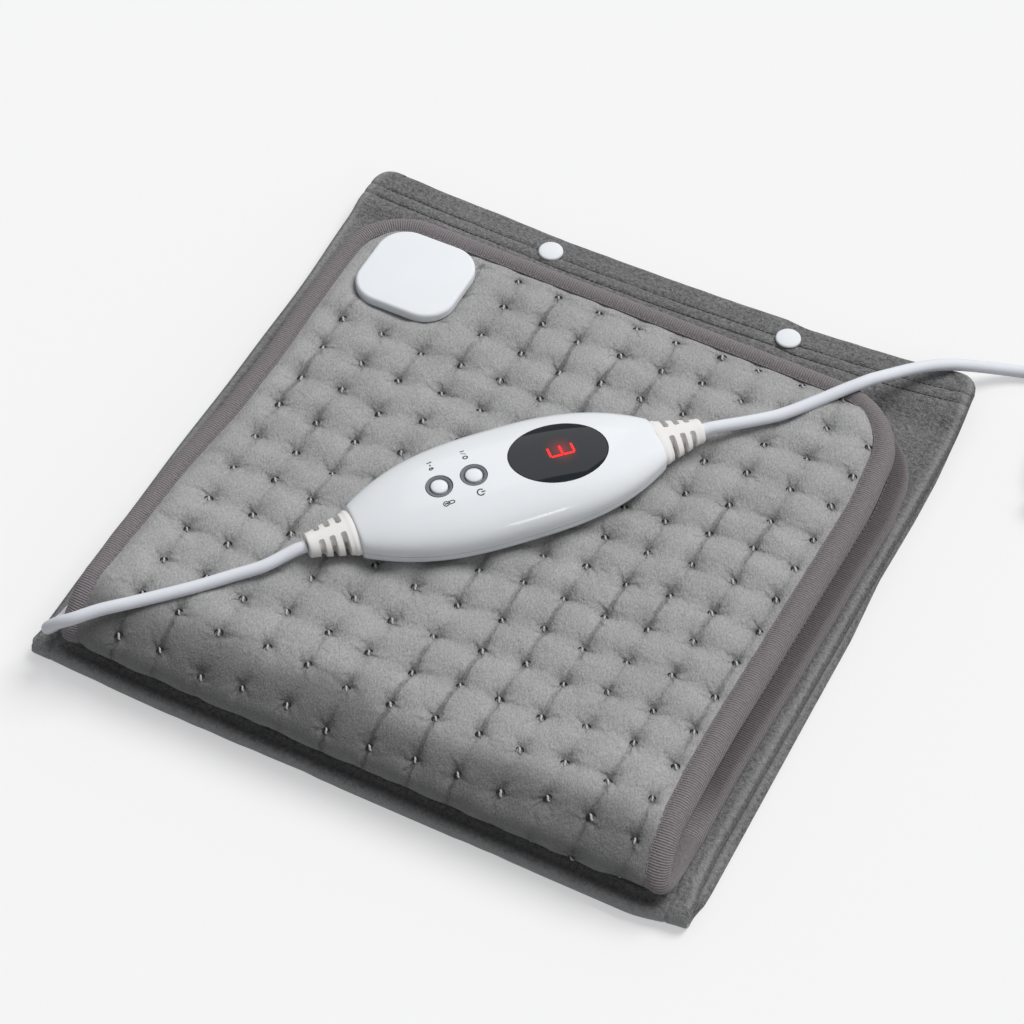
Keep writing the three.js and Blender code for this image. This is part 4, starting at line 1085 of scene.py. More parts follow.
def inner_layers():
    """The cloth that carries the heating wire, and the wire"""
    inset, count = 7, 24
    rows = [("upper", g) for g in leaf_shares(30, inset, "upper")]
    rows += [("turn", g) for g in PAD.turn_shares(12)]
    rows += [("lower", g) for g in leaf_shares(30, inset, "lower")]
    points, along = [], []
    for leaf, g in rows:
        x = np.linspace(*pad_sides(leaf, g, inset), count)
        line, t = PAD.at(leaf, g, x, 0 * x - 1.1)
        points.append(line)
        along.append(float(np.mean(t)))
    piece = object_from("carrier", np.array(points).reshape(-1, 3) * MM, grid_faces(len(rows), count))
    thicken(piece, 0.4, -1)
    apply_modifiers(piece)
    smooth(piece)
    felt = NODE_FINISHES["carrier_felt"]()
    cloth = dress(piece, "element_cloth", felt, ["element_carrier"])
    wire = cord_curve("heating_line", smooth_path(wire_route(), 4.0), 0.8)
    wire.data.bevel_resolution = 1
    line = dress(wire, "heating_line", NODE_FINISHES["wire_sleeve"](), ["heating_wire"])


# Tape round the pad's edge

# Its section: how far in from the edge, and how far outside the middle of the leaf
TAPE_SECTION = [
    (10.6, 4.9), (10.4, 5.25), (9.8, 5.3), (9.3, 5.1), (8.8, 5.45), (7.4, 6.1), (5.8, 6.35),
    (4.2, 6.2), (2.7, 5.6), (1.4, 4.5), (0.5, 2.6), (0, 0), (0.5, -2.6), (1.5, -4.3), (3.2, -5.1),
    (5.6, -5.4), (8.4, -5.45), (10.3, -5.35), (10.6, -5.15), (10.4, -4.6), (7.5, -4.5), (3.4, -4.1),
    (1.3, -2), (1.3, 2), (3.4, 4.1), (7.5, 4.5), (10.4, 4.6),
]
TAPE_CREST = TAPE_SECTION.index((5.8, 6.35))
# A place on the pad's edge, with the direction that points outwards from it
Station = namedtuple("Station", "leaf share x y outward_x outward_y")


def tape_stations():
    """Places all round the pad's edge, over both leaves"""
    def edge(leaf, side, y):
        return straight_sides(leaf, y)[1 if side > 0 else 0]

    def straight(leaf, side, start, end, count):
        for k in range(count):
            y = start + (end - start) * k / count
            yield Station(leaf, None, edge(leaf, side, y), y, side, 0)

    def corner(leaf, back, radius, side, turns):
        for turn in turns:
            angle = turn * math.pi / 2
            x = edge(leaf, side, back - radius) - side * radius * (1 - math.cos(angle))
            y = back - radius * (1 - math.sin(angle))
            yield Station(leaf, None, x, y, side * math.cos(angle), math.sin(angle))

    def across(leaf, back, side, count):
        left = edge(leaf, -1, back - CORNERS[0]) + CORNERS[0]
        right = edge(leaf, 1, back - CORNERS[1]) - CORNERS[1]
        start, end = (right, left) if side > 0 else (left, right)
        for k in range(1, count):
            yield Station(leaf, None, start + (end - start) * k / count, back, 0, 1)

    rise = [k / 14 for k in range(15)]
    turn = [*PAD.turn_shares(30), 1.0]
    for leaf, other, side in (("upper", "lower", 1), ("lower", "upper", -1)):
        front = float(PAD.turn_y(side * 150.0)) + 1
        radius = CORNERS[1] if side > 0 else CORNERS[0]
        back, other_back = PAD_BACKS[leaf], PAD_BACKS[other]
        yield from corner(leaf, back, radius, side, rise[::-1])
        yield from straight(leaf, side, back - radius - 2, front, 90)
        for share in turn if side > 0 else turn[::-1]:
            yield Station("turn", share, pad_sides("turn", share, 0)[1 if side > 0 else 0], 0, side, 0)
        yield from straight(other, side, front, other_back - radius - 2, 90)
        yield from corner(other, other_back, radius, side, rise)
        yield from across(other, other_back, side, 80)


def tape_point(station, inset, n):
    """A point of the tape's section at a station. Its outer half is thinner in the turn"""
    turn_thickness = 0.87
    x = np.array([station.x - station.outward_x * inset])
    if station.leaf == "turn":
        return PAD.at("turn", station.share, x, n * turn_thickness if n > 0 else n)[0][0]
    if n > 0:
        n *= turn_thickness + (1 - turn_thickness) * float(smoothstep((station.y + 130) / 25))
    return PAD.on_leaf(station.leaf, x, station.y - station.outward_y * inset + 0 * x, n)[0]


def tape_shade(station, inset, n):
    """How much shade is painted on a place of the tape: in the gap between the two leaves, and a little over
    all of the lower leaf
    """
    if station.leaf == "turn":
        return 0.0
    gap = float(smoothstep((1.5 - n) / 5.0) * smoothstep((inset + 0.6) / 4.5))
    # Painted shade: the lower leaf's tape is a little darker all over
    if station.leaf == "lower":
        gap = max(gap, 0.12)
    past_turn = station.y - float(PAD.turn_y(station.x))
    return gap * float(smoothstep(past_turn / 34))


def pad_tape(material):
    """The tape round the pad's edge, with its length along it as its first texture coordinate"""
    stations = list(tape_stations())
    rings = np.array([[tape_point(s, inset, n) for inset, n in TAPE_SECTION] for s in stations])
    count, size = rings.shape[:2]
    crest = rings[:, TAPE_CREST]
    steps = np.linalg.norm(np.roll(crest, -1, axis=0) - crest, axis=1)
    along = np.concatenate([[0], np.cumsum(steps)]) * MM
    piece = object_from("pad_tape", rings.reshape(-1, 3) * MM, grid_faces(count, size, True, True))
    mark(piece, "between", [[tape_shade(s, inset, n) for inset, n in TAPE_SECTION] for s in stations])
    layer = piece.data.uv_layers.new(name="Along")
    for polygon in piece.data.polygons:
        ring = polygon.index // size
        for corner, loop in enumerate(polygon.loop_indices):
            layer.data[loop].uv = (along[ring + (corner in (2, 3))], (polygon.index % size) / size)
    turn_outwards(piece)
    smooth(piece)
    dress(piece, "pad_tape", material, ["pad_binding"])


def tape_stitches(colour):
    """Stitches along the tape's inner edge, on both faces of the pad"""
    stations = list(tape_stations())
    parts = []
    for n in (5.25, -5.5):
        line = [tape_point(s, 9.4, n) for s in stations]
        parts += stitch_row([*line, line[0]], 2.9, 0.22)
    many("tape_stitches", parts, thread_finish("tape_thread", scaled(colour, 0.95)))


# Tacks

def thread_nub(centre, side, fore, up, size):
    """A short strand of thread that comes up between the slits and goes down again"""
    path = []
    for k in np.linspace(-1, 1, 6):
        flat = side * 0.16 * math.sin(4 * k) + fore * (1.35 * k - 0.15)
        path.append(centre + size * flat + up * (0.62 - 0.5 * k * k))
    return tube_points(path, 0.5 * size, 6)


def pulled_slit(centre, side, fore, up, size, sign, length):
    """A curved slit on one side of a tack, as a low strip that carries the painted shade inside the slit"""
    points = []
    rows = 8
    for k in range(rows):
        share = k / (rows - 1)
        angle = math.radians(90 - sign * (18 + 100 * share * length))
        reach = size * (1.35 + 0.35 * share)
        width = size * (0.1 + 0.5 * math.sin(math.pi * min(1, share * 0.9 + 0.1)) ** 0.8)
        ray = side * math.cos(angle) + fore * math.sin(angle)
        for place, lift in ((-1, -0.35), (-0.45, 0.04), (0.45, 0.08), (1, -0.3)):
            points.append(centre + ray * (reach + width * place) + up * (0.4 + lift))
    return points, grid_faces(rows, 4)


def tack_marks(points, normals, x, t, places, settings):
    """A nub of thread at every tack, between the two slits that it pulls into the pile, which are dark strips
    of painted shade
    """
    nubs, slits = [], []
    rng = np.random.default_rng(5)
    for px, pt in places:
        near = np.argsort((x - px) ** 2 + (t - pt) ** 2)[:4]
        centre = points[near].mean(axis=0) / MM
        up = normals[near].mean(axis=0)
        up /= np.linalg.norm(up)
        if up[2] < -0.3:
            up = -up
        across = np.cross([0.0, 1.0, 0.0], up) if abs(up[1]) < 0.9 else np.array([1.0, 0, 0])
        across /= np.linalg.norm(across)
        along = np.cross(up, across)
        turn = rng.uniform(0.3, 0.75)
        side = across * math.cos(turn) + along * math.sin(turn)
        fore = np.cross(up, side)
        size = rng.uniform(0.85, 1.15)
        nubs.append(thread_nub(centre, side, fore, up, size))
        for sign in (-1, 1):
            slits.append(pulled_slit(centre, side, fore, up, size, sign, rng.uniform(0.75, 1.15)))
    plush = tuple(settings.plush)
    many("tack_threads", nubs, thread_finish("tack_thread", scaled(plush, 1.3)))
    # Painted shade: the slits are near-black strips that stand in for the shade inside them
    many("slit_shadows", slits, thread_finish("tack_slit", scaled(plush, 0.06)))


class HEATPAD_OT_pad(Builder):
    """Makes the quilted pad with its tape, threads and inner layers"""
    bl_idname = "heatpad.pad"
    bl_label = "Pad"

    def build(self, scene):
        settings = scene.heatpad_pad
        plush = plush_finish("plush", settings)
        points, normals, x, t, places = pad_face(settings, plush)
        tack_marks(points, normals, x, t, places, settings)
        pad_tape(tape_finish("ribbed_tape", tuple(settings.tape)))
        tape_stitches(tuple(settings.tape))
        pad_back(settings, plush)
        inner_layers()


# Cord routes, in millimetres: the centre lines of the CAD solids

CONTROLLER = {"x": 0.7, "y": -12.5, "angle": math.radians(47.85), "half": 72.65, "parting": 45.0}
CABLE_Z = 44.7
CORD_RADIUS = 2.9
RELIEF_LENGTH = 22.0
COIL = {"x": 246.0, "y": 157.0, "outer": 46.2, "pitch": 6.3, "turns": 7.25, "low": 3.9}
COIL_HIGH = COIL["low"] + COIL["pitch"]
LEAD_Z = PLATE_LEVEL - 7.8


def relief_mouth(sign):
    reach = sign * (CONTROLLER["half"] + RELIEF_LENGTH + 0.6)
    return (
        CONTROLLER["x"] + reach * math.cos(CONTROLLER["angle"]),
        CONTROLLER["y"] + reach * math.sin(CONTROLLER["angle"]), CABLE_Z,
    )


PAD_LEAD_ROUTE = [
    relief_mouth(-1), (-66, -86.4, 44.5), (-69.8, -91.8, 43.6), (-75.1, -99.9, 42.7), (-85.6, -110.9, 41.9),
    (-96, -122, 41.4), (-106.6, -132.5, 41.2), (-117.3, -142.7, 41), (-128.2, -152.4, 40.4),
    (-137, -160.3, 38.2), (-143.8, -163.3, 34.4), (-148.2, -164.2, 29.8), (-150.4, -161.6, 24.9),
    (-150.4, -154.5, 20.4), (-150.6, -146, 17.8), (-150.8, -133, 16.6), (-150.9, -118, 16.6),
    (-151, -103, 17.2), (-151, -90, 19.2), (-149.4, -78, 22), (-146, -66, 23.8), (-141.2, -54, 24.1),
    (-137, -38, 24.2), (-134.4, -14, 24.2), (-133.4, 16, 24.2), (-133, 48, 24.2), (-132.6, 68, 24.2),
    (-130.6, 79.5, 24.2), (-126.8, 86.4, 24.2), (-122.4, 88.7, LEAD_Z), (-120.7, 88.7, LEAD_Z),
]
MAINS_LEAD_ROUTE = [
    relief_mouth(1), (67.6, 61.4, 44.5), (72.4, 66.9, 43.1), (79.5, 74.9, 41), (90.5, 87.5, 38.6),
    (100.7, 102.3, 37.3), (110.9, 117.5, 36.8), (114.5, 122.6, 36.6), (117.2, 127, 36), (119.6, 131.6, 34.6),
    (121.9, 136.4, 32.4), (125.9, 145, 28.4), (130.5, 153.6, 24.8), (134.7, 160.2, 22), (139.5, 166.4, 19.4),
    (145, 172.4, 16.6), (152, 179.2, 12.6), (159.5, 185.8, 8.4), (168.5, 191.9, 5), (180, 196.8, 3.4),
    (194, 200.4, 3.1), (209, 202.4, 3.2), (225, 203.2, 3.6),
    (COIL["x"] - 2 * CORD_RADIUS - 5.3, COIL["y"] + COIL["outer"], COIL["low"]),
]
MAINS_TAIL_ROUTE = [
    (292.2, 150.9, COIL_HIGH), (292.2, 146, 10.1), (292.1, 138, 9.2), (292, 129, 7.8), (292, 122, 7.2),
    (292, 117.3, 7.1),
]


def coil_route(per_turn):
    """In on the lower layer, up half-way, and out again on the upper one"""
    steps = int(COIL["turns"] * per_turn)
    points = [(COIL["x"] - 2 * CORD_RADIUS, COIL["y"] + COIL["outer"], COIL["low"])]
    for k in range(steps + 1):
        turn = k / per_turn
        angle = math.pi / 2 - 2 * math.pi * turn
        radius = COIL["outer"] - COIL["pitch"] * min(turn, COIL["turns"] - turn)
        climb = min(1, max(0, (turn - COIL["turns"] / 2 + 0.25) / 0.5))
        z = COIL["low"] + (COIL_HIGH - COIL["low"]) * climb
        points.append((COIL["x"] + radius * math.cos(angle), COIL["y"] + radius * math.sin(angle), z))
    points.append((COIL["x"] + COIL["outer"], COIL["y"] - 2 * CORD_RADIUS, COIL_HIGH))
    return points


def smooth_path(points, step):
    """Points a step apart on the centripetal curve through a route"""
    p = [np.array(q, float) for q in points]
    p = [2 * p[0] - p[1], *p, 2 * p[-1] - p[-2]]
    result = []
    for a, b, c, d in zip(p, p[1:], p[2:], p[3:]):
        t = [0.0]
        for u, v in ((a, b), (b, c), (c, d)):
            t.append(t[-1] + max(np.linalg.norm(v - u), 1e-6) ** 0.5)
        count = max(1, int(round(np.linalg.norm(c - b) / step)))
        for k in range(count):
            s = t[1] + (t[2] - t[1]) * k / count
            a1 = (t[1] - s) / (t[1] - t[0]) * a + (s - t[0]) / (t[1] - t[0]) * b
            a2 = (t[2] - s) / (t[2] - t[1]) * b + (s - t[1]) / (t[2] - t[1]) * c
            a3 = (t[3] - s) / (t[3] - t[2]) * c + (s - t[2]) / (t[3] - t[2]) * d
            b1 = (t[2] - s) / (t[2] - t[0]) * a1 + (s - t[0]) / (t[2] - t[0]) * a2
            b2 = (t[3] - s) / (t[3] - t[1]) * a2 + (s - t[1]) / (t[3] - t[1]) * a3
            result.append((t[2] - s) / (t[2] - t[1]) * b1 + (s - t[1]) / (t[2] - t[1]) * b2)
    result.append(p[-2])
    return result


def path_length(points):
    return sum(float(np.linalg.norm(np.array(b) - np.array(a))) for a, b in zip(points, points[1:]))


def cord_curve(name, points, radius):
    """A round cord of a radius in millimetres along points"""
    curve = bpy.data.curves.new(name, "CURVE")
    curve.dimensions = "3D"
    curve.bevel_depth = radius * MM
    curve.bevel_resolution = 5
    curve.use_fill_caps = True
    spline = curve.splines.new("POLY")
    spline.points.add(len(points) - 1)
    for target, point in zip(spline.points, points):
        target.co = (*[float(v) * MM for v in point], 1)
    spline.use_smooth = True
    piece = bpy.data.objects.new(name, curve)
    bpy.context.scene.collection.objects.link(piece)
    return piece


class HEATPAD_OT_cords(Builder):
    """Lays the lead to the pad and the mains lead with its coil"""
    bl_idname = "heatpad.cords"
    bl_label = "Cords"

    def build(self, scene):
        settings = scene.heatpad_cords
        finish = cord_finish("cord_sheath", tuple(settings.sheath))
        radius = settings.diameter / 2 / MM
        lead = smooth_path(PAD_LEAD_ROUTE, 3.0)
        piece = cord_curve("pad_lead_cord", lead, radius)
        dress(piece, "pad_lead_cord", finish, ["pad_lead"])
        [v * MM for v in PAD_LEAD_ROUTE[0]]
        path_length(lead) * MM
        route = smooth_path(MAINS_LEAD_ROUTE, 3.0)
        route += [np.array(p) for p in coil_route(settings.coil_points)]
        route += smooth_path(MAINS_TAIL_ROUTE, 3.0)
        piece = cord_curve("mains_cord", route, radius)
        dress(piece, "mains_cord", finish, ["mains_lead", "mains_coil", "mains_tail"])
        [v * MM for v in MAINS_LEAD_ROUTE[0]]
        path_length(route) * MM


# Cover

COVER_SIDE = 163.5
HEM_LINES = (150.0, 156.5)
MOUTH_Y = 168.5
SNAPS = {"x": (-60.5, 67.5), "y": 154.5, "seat": 13.5}
# The right edges of the cover's two leaves: the places in y, and x there. The lower leaf shows further out.
COVER_RIGHT = {
    "upper": (
        [-160, -154, -148, -128, -60, 0, 60, 100, 127, 145, 157, 168],
        [160.6, 160.4, 158.9, 158.0, 158.8, 159.8, 160.4, 161.3, 161.6, 160.8, 159.6, 159.4],
    ),
    "lower": (
        [-160, -156, -150, -144, -40, 9, 46, 60, 86, 113, 127, 140, 153],
        [160.2, 160.4, 161.8, 162.1, 162.1, 162.3, 160.6, 161.0, 161.7, 161.7, 161.0, 160.2, 158.0],
    ),
}
# How far the mouth's edge lies behind a straight line: the places in x, and the distances there
MOUTH_LINE = (
    [-163, -149, -125, -91, -57, -2, 20, 62, 73, 104, 124, 140, 153, 163],
    [0.8, 0.3, -0.9, -2.1, -3.7, -4.1, -3.3, -1.9, -3.5, -1.5, 0, 2.2, 4.2, 4.5],
)


def cover_bow(x):
    """How far the fold lies back of its line towards the corners"""
    return 1.5 * smoothstep((-x - 90) / 70) + 4.0 * smoothstep((x - 134) / 27)


OUTER = FoldedSheet(
    0.75, lambda x: 8.95 + 0 * x, -164.8, {"upper": MOUTH_Y, "lower": MOUTH_Y}, 3.5, bow=cover_bow,
)
INNER = FoldedSheet(
    3.65, lambda x: 5.45 + 0 * x, -161.6, {"upper": MOUTH_Y, "lower": MOUTH_Y}, 1.4, bow=cover_bow,
)
SEAM = FoldedSheet(2.2, lambda x: 7.2 + 0 * x, -163.2, {"upper": 148.5, "lower": 156.5}, 2.2, bow=cover_bow)


def spread(fine, reach, step):
    """Distances from an edge: the fine ones, and then even steps up to reach"""
    count = int(round((reach - fine[-1]) / step))
    return [*fine, *[fine[-1] + (reach - fine[-1]) * k / count for k in range(1, count + 1)]]


def mouth_pull(x, y):
    """How far a place is pulled back by the mouth's curve, which tells only near the mouth"""
    return np.interp(x, *MOUTH_LINE) * smoothstep((np.asarray(y, float) - 80) / 84)


def cover_sides(leaf, g, y):
    """Left and right edges of a leaf of the cover, with the corners of its mouth rounded"""
    wander = 0.24 * math.sin(y / 37) + 0.18 * math.sin(y / 13 + 1)
    if leaf == "turn":
        return -161.0 + 0.4 * g + wander, 160.4
    to_mouth = float(smoothstep((y - 60) / 90))
    left = -161.0 - 2.2 * to_mouth if leaf == "upper" else -160.6 + 2.0 * to_mouth
    right = float(np.interp(y, *COVER_RIGHT[leaf]))
    radius = {"upper": 9.0, "lower": 24.0}[leaf]
    into = min(radius, max(0.0, y - MOUTH_Y + radius))
    corner = radius - math.sqrt(radius * radius - into * into)
    return left + wander + min(corner, 9.0) * 0.8, right - corner


def cover_rows(length):
    """Leaves and shares of the panel's rows, closest together at the hems"""
    hem = [0, 0.3, 0.8, 1.6, 3, 5, 7.5, 9.6, 10.8, 11.5, 12, 12.5, 13.2, 14.6, 16, 17.2, 18, 18.5, 19]
    hem += [19.8, 21.5, 24]
    shares = [distance / length for distance in spread(hem, length, 3.6)]
    rows = [("upper", g) for g in shares[:-1]]
    rows += [("turn", k / 12) for k in range(12)]
    return rows + [("lower", 1 - g) for g in reversed(shares)]


def cover_columns():
    """Shares across the panel from -1 to 1, closest together at the side seams"""
    fine = [0, 0.2, 0.6, 1.2, 2, 3, 4.5, 6.5, 7.8, 8.6, 9.2, 9.8, 10.6, 12]
    half = [distance / COVER_SIDE for distance in spread(fine, COVER_SIDE, 3.6)]
    return np.array([-1 + d for d in half] + [1 - d for d in reversed(half[:-1])])


def cover_height(leaf, g, x, t, y, edge, outer, seed):
    """How far a row of a panel lies outside its sheet: waves, the rolled rims and the stitched-down lines"""
    gap = {"upper": 3.5 + 2.1 * past_pad(y), "turn": 3.2, "lower": 2.9}[leaf]
    from_rim = 1 - np.clip(edge / 3.4, 0, 1)
    roll = (gap / 2 - 0.8) * (1 - np.sqrt(np.clip(1 - from_rim ** 2, 0, 1)))
    n = 0.34 * waves(x, t, 70, seed) + 0.14 * waves(x, t, 19, seed + 1)
    n = n * smoothstep((edge - 2) / 14) + (-roll if outer else roll)
    if outer:
        n = n + 0.35 * (1 - smoothstep((edge - 7.9) / 1.3)) - 0.5 * bell(edge - 9.2, 0.7)
    if outer and leaf != "turn":
        n = n - sum(0.7 * bell(y - line, 0.8) for line in HEM_LINES)
        n = n + 0.25 * smoothstep((y - 149) / 2.0) - 0.3 * smoothstep((y - 167.2) / 1.3)
    if leaf == "lower" or (leaf == "turn" and g > 0.5):
        n = np.minimum(n, 0.05) if outer else n * 0.5
    return n


def cover_highlight(leaf, g, edge):
    """How much highlight is painted on the cloth: round the fold and along the rims"""
    if leaf == "turn":
        return np.full(len(edge), bell(g - 0.62, 0.36))
    return 0.42 * bell(edge - 2.2, 1.3)


def cover_shade(leaf, g, x, y, edge):
    """How dark the cloth lies: close under the pad's fold, and in the gap along the upper leaf's rim"""
    if leaf == "lower":
        return 0 * x
    under_pad = smoothstep((x + 152) / 12) * smoothstep((152 - x) / 12)
    if leaf == "turn":
        return under_pad * (1 - smoothstep(g / 0.3))
    gap = 0.7 * (1 - smoothstep((edge - 0.3) / 0.9))
    return np.maximum(under_pad * smoothstep((-157 - y) / 3), gap)


def cover_panel(name, sheet, outer, material, nodes, seed):
    """One folded panel, with its sides rolled towards the other panel. Returns it and its length when flat"""
    length = MOUTH_Y - float(sheet.turn_y(0.0))
    rows, columns = cover_rows(length), cover_columns()
    points, painted_highlight, shaded = [], [], []
    for leaf, g in rows:
        y = MOUTH_Y - length * (1 - g if leaf == "lower" else g)
        left, right = cover_sides(leaf, g, y)
        x = left + (right - left) * (columns + 1) / 2
        edge = np.minimum(x - left, right - x)
        t = sheet.at(leaf, g, x, 0 * x)[1]
        line = sheet.at(leaf, g, x, cover_height(leaf, g, x, t, y, edge, outer, seed))[0]
        if leaf != "turn":
            pull = mouth_pull(x, line[:, 1])
            line[:, 1] += pull if leaf == "upper" else np.minimum(pull, 0)
        points.append(line)
        painted_highlight.append(cover_highlight(leaf, g, edge))
        shaded.append(cover_shade(leaf, g, x, y, edge))
    piece = object_from(name, np.array(points).reshape(-1, 3) * MM, grid_faces(len(rows), len(columns)))
    # Painted highlight and painted shade, for the fleece to read
    mark(piece, "painted_highlight", painted_highlight)
    mark(piece, "shaded", shaded)
    thicken(piece, 1.4)
    round_edges(piece, 0.5, 2, 60)
    apply_modifiers(piece)
    smooth(piece)
    dress(piece, name, material, nodes)
    return piece, length * 2 + math.pi * float(sheet.radius(0.0))


def strip(name, y_range, z, width, thickness, material):
    """A flat strip of cloth across the cover"""
    rows, columns = 5, 60
    xs = np.linspace(-width / 2, width / 2, columns)
    points = [(x, y, z) for y in np.linspace(*y_range, rows) for x in xs]
    return thick_strip(name, points, rows, columns, thickness, material)


def side_seam(name, sign, material):
    """The turned-in seam allowance along one side of the cover, round its fold"""
    rows = [("upper", k / 40) for k in range(40)] + [("turn", k / 8) for k in range(8)]
    rows += [("lower", k / 40) for k in range(41)]
    points = []
    for leaf, g in rows:
        y = float(SEAM.at(leaf, g, np.array([sign * 158.0]), 0.0)[0][0][1])
        edge = cover_sides(leaf, g, y)[(sign + 1) // 2]
        xs = np.sort(np.linspace(edge - sign * 1.4, edge - sign * 8.6, 5))
        points += list(SEAM.at(leaf, g, xs, 0 * xs)[0])
    return thick_strip(name, points, len(rows), 5, 0.8, material)


def thick_strip(name, points, rows, columns, thickness, material):
    """A strip of cloth with a thickness, from rows of points in millimetres"""
    piece = object_from(name, np.array(points) * MM, grid_faces(rows, columns))
    thicken(piece, thickness)
    apply_modifiers(piece)
    smooth(piece, 40)
    return dress(piece, f"{name}_cloth", material, [name])


def hem_stitches(material):
    """The two rows of stitches along the mouth"""
    stitches = []
    for line in HEM_LINES:
        route = [(x, line + float(mouth_pull(x, line)), 12.85) for x in np.linspace(-157, 156, 60)]
        stitches += stitch_row(route, 2.6, 0.2, 0.12, 0.86)
    return many("hem_stitches", stitches, material)


def snap_dome(number, x, radius, material):
    """The domed cap of one snap fastener, on its short shank"""
    seat, shank = SNAPS["seat"], 1.5
    profile = [(shank, seat - 1.8), (shank, seat), (radius - 0.3, seat), (radius, seat + 0.35)]
    profile.append((radius - 0.1, seat + 0.8))
    for angle in np.linspace(0.35, math.pi / 2, 9)[:-1]:
        profile.append((radius * math.cos(angle), seat + 0.7 + math.sin(angle) ** 0.7))
    piece = spun([*profile, (0, seat + 1.7)])
    piece.location = (x * MM, SNAPS["y"] * MM, 0)
    settle_place(piece)
    smooth(piece, 50)
    dress(piece, f"snap_dome_{number}", material, [f"snap_cap_{number}"])


class HEATPAD_OT_cover(Builder):
    """Makes the folded cover with its hems, seams, stitch lines and snaps"""
    bl_idname = "heatpad.cover"
    bl_label = "Cover"

    def build(self, scene):
        settings = scene.heatpad_cover
        fleece = fleece_finish("fleece", tuple(settings.fleece))
        outer, outer_length = cover_panel("cover_outer", OUTER, True, fleece, ["cover_outer_panel"], 21)
        inner, inner_length = cover_panel("cover_inner", INNER, False, fleece, ["cover_inner_panel"], 31)
        trims = [
            strip("mouth_hem_upper", (147.5, 162.5), 11.05, 302, 0.7, fleece),
            strip("mouth_hem_lower", (147.5, 162.5), 8.25, 302, 0.7, fleece),
            strip("end_seam", (158, 166.5), 2.2, 307, 0.8, fleece),
            side_seam("side_seam_left", -1, fleece),
            side_seam("side_seam_right", 1, fleece),
            hem_stitches(thread_finish("cover_thread", scaled(tuple(settings.fleece), 0.35))),
        ]
        gloss = moulded_finish("snap_plastic", tuple(scene.heatpad_controller.housing), 0.28)
        for index, x in enumerate(SNAPS["x"]):
            snap_dome(index + 1, x, settings.snap_radius / MM, gloss)


# Controller, in its own frame: x along it towards the display, y across it away from the camera

SKIRT = 1.0
TOP_CURVE = 2.4
BOTTOM_CURVE = 3.2
HALF = CONTROLLER["half"]
PARTING = CONTROLLER["parting"]
LENS = {"s": 24.5, "a": 23.4, "b": 16.9}
GLOW = {"s": 26.0, "z": 60.0, "reach": 9.5}
BUTTONS = {"power": -15.8, "heat": -32.2}
BEZEL_RADIUS = 6.12
# The heights between which the housing's top is cut open, and the gap round what shows there
OPENING = {"low": 50, "high": 66, "gap": 0.18}


def half_width(u):
    """Half the housing's width at a share u of its half length"""
    return 13 + 17.5 * (1 - abs(u) ** 2.8)


def rise(u):
    """Height of the housing's top over the parting line"""
    return 7 + 8.5 * (1 - abs(u) ** 2.5)


def drop(u):
    """Depth of the housing's bottom under the parting line"""
    return 7 + 0.8 * (1 - abs(u) ** 2.5)


def dome(s, y):
    """Height of the housing's top over a point"""
    u = s / HALF
    across = min(1.0, abs(y) / half_width(u))
    return PARTING + SKIRT + (rise(u) - SKIRT) * (1 - across ** TOP_CURVE) ** (1 / TOP_CURVE)


def in_controller(piece):
    """Turns and moves a piece from the controller's frame into place"""
    piece.rotation_euler = (0, 0, CONTROLLER["angle"])
    piece.location = (CONTROLLER["x"] * MM, CONTROLLER["y"] * MM, 0)
    settle_place(piece)
    return piece


def stretched(outline, stations):
    """Extrudes an outline along x, station by station: x, scale in y, scale in z, height of the centre"""
    clear_selection()
    x0, y0, z0, middle = stations[0]
    closed = len(outline) > 2 and outline[0] == outline[-1]
    if closed:
        outline = outline[:-1]
    points = [(x0 * MM, y * y0 * MM, (middle + z * z0) * MM) for y, z in outline]
    edges = [(i, i + 1) for i in range(len(points) - 1)] + ([(len(points) - 1, 0)] if closed else [])
    piece = object_from("stretched", points, [], edges)
    select_only(piece)
    bpy.ops.object.mode_set(mode="EDIT")
    bpy.ops.mesh.select_all(action="SELECT")
    for before, after in zip(stations, stations[1:]):
        onwards = ((after[0] - before[0]) * MM, 0, 0)
        bpy.ops.mesh.extrude_region_move(TRANSFORM_OT_translate={"value": onwards})
        bpy.ops.transform.resize(
            value=(1, after[1] / before[1], after[2] / before[2]), center_override=(0, 0, middle * MM),
        )
    bpy.ops.object.mode_set(mode="OBJECT")
    return piece


def choose(piece, test):
    """Selects, in edit mode, the vertices for which the test is true"""
    select_only(piece)
    bpy.ops.object.mode_set(mode="EDIT")
    bpy.ops.mesh.select_mode(type="VERT")
    bpy.ops.mesh.select_all(action="DESELECT")
    mesh = bmesh.from_edit_mesh(piece.data)
    for vertex in mesh.verts:
        vertex.select = bool(test(vertex))
    mesh.select_flush(True)
    bmesh.update_edit_mesh(piece.data)


def close_end(piece, x):
    """Closes the open outline at x, in millimetres, with a face, and stays in edit mode"""
    choose(piece, lambda v: abs(v.co.x - x * MM) < 1e-6)
    bpy.ops.mesh.edge_face_add()


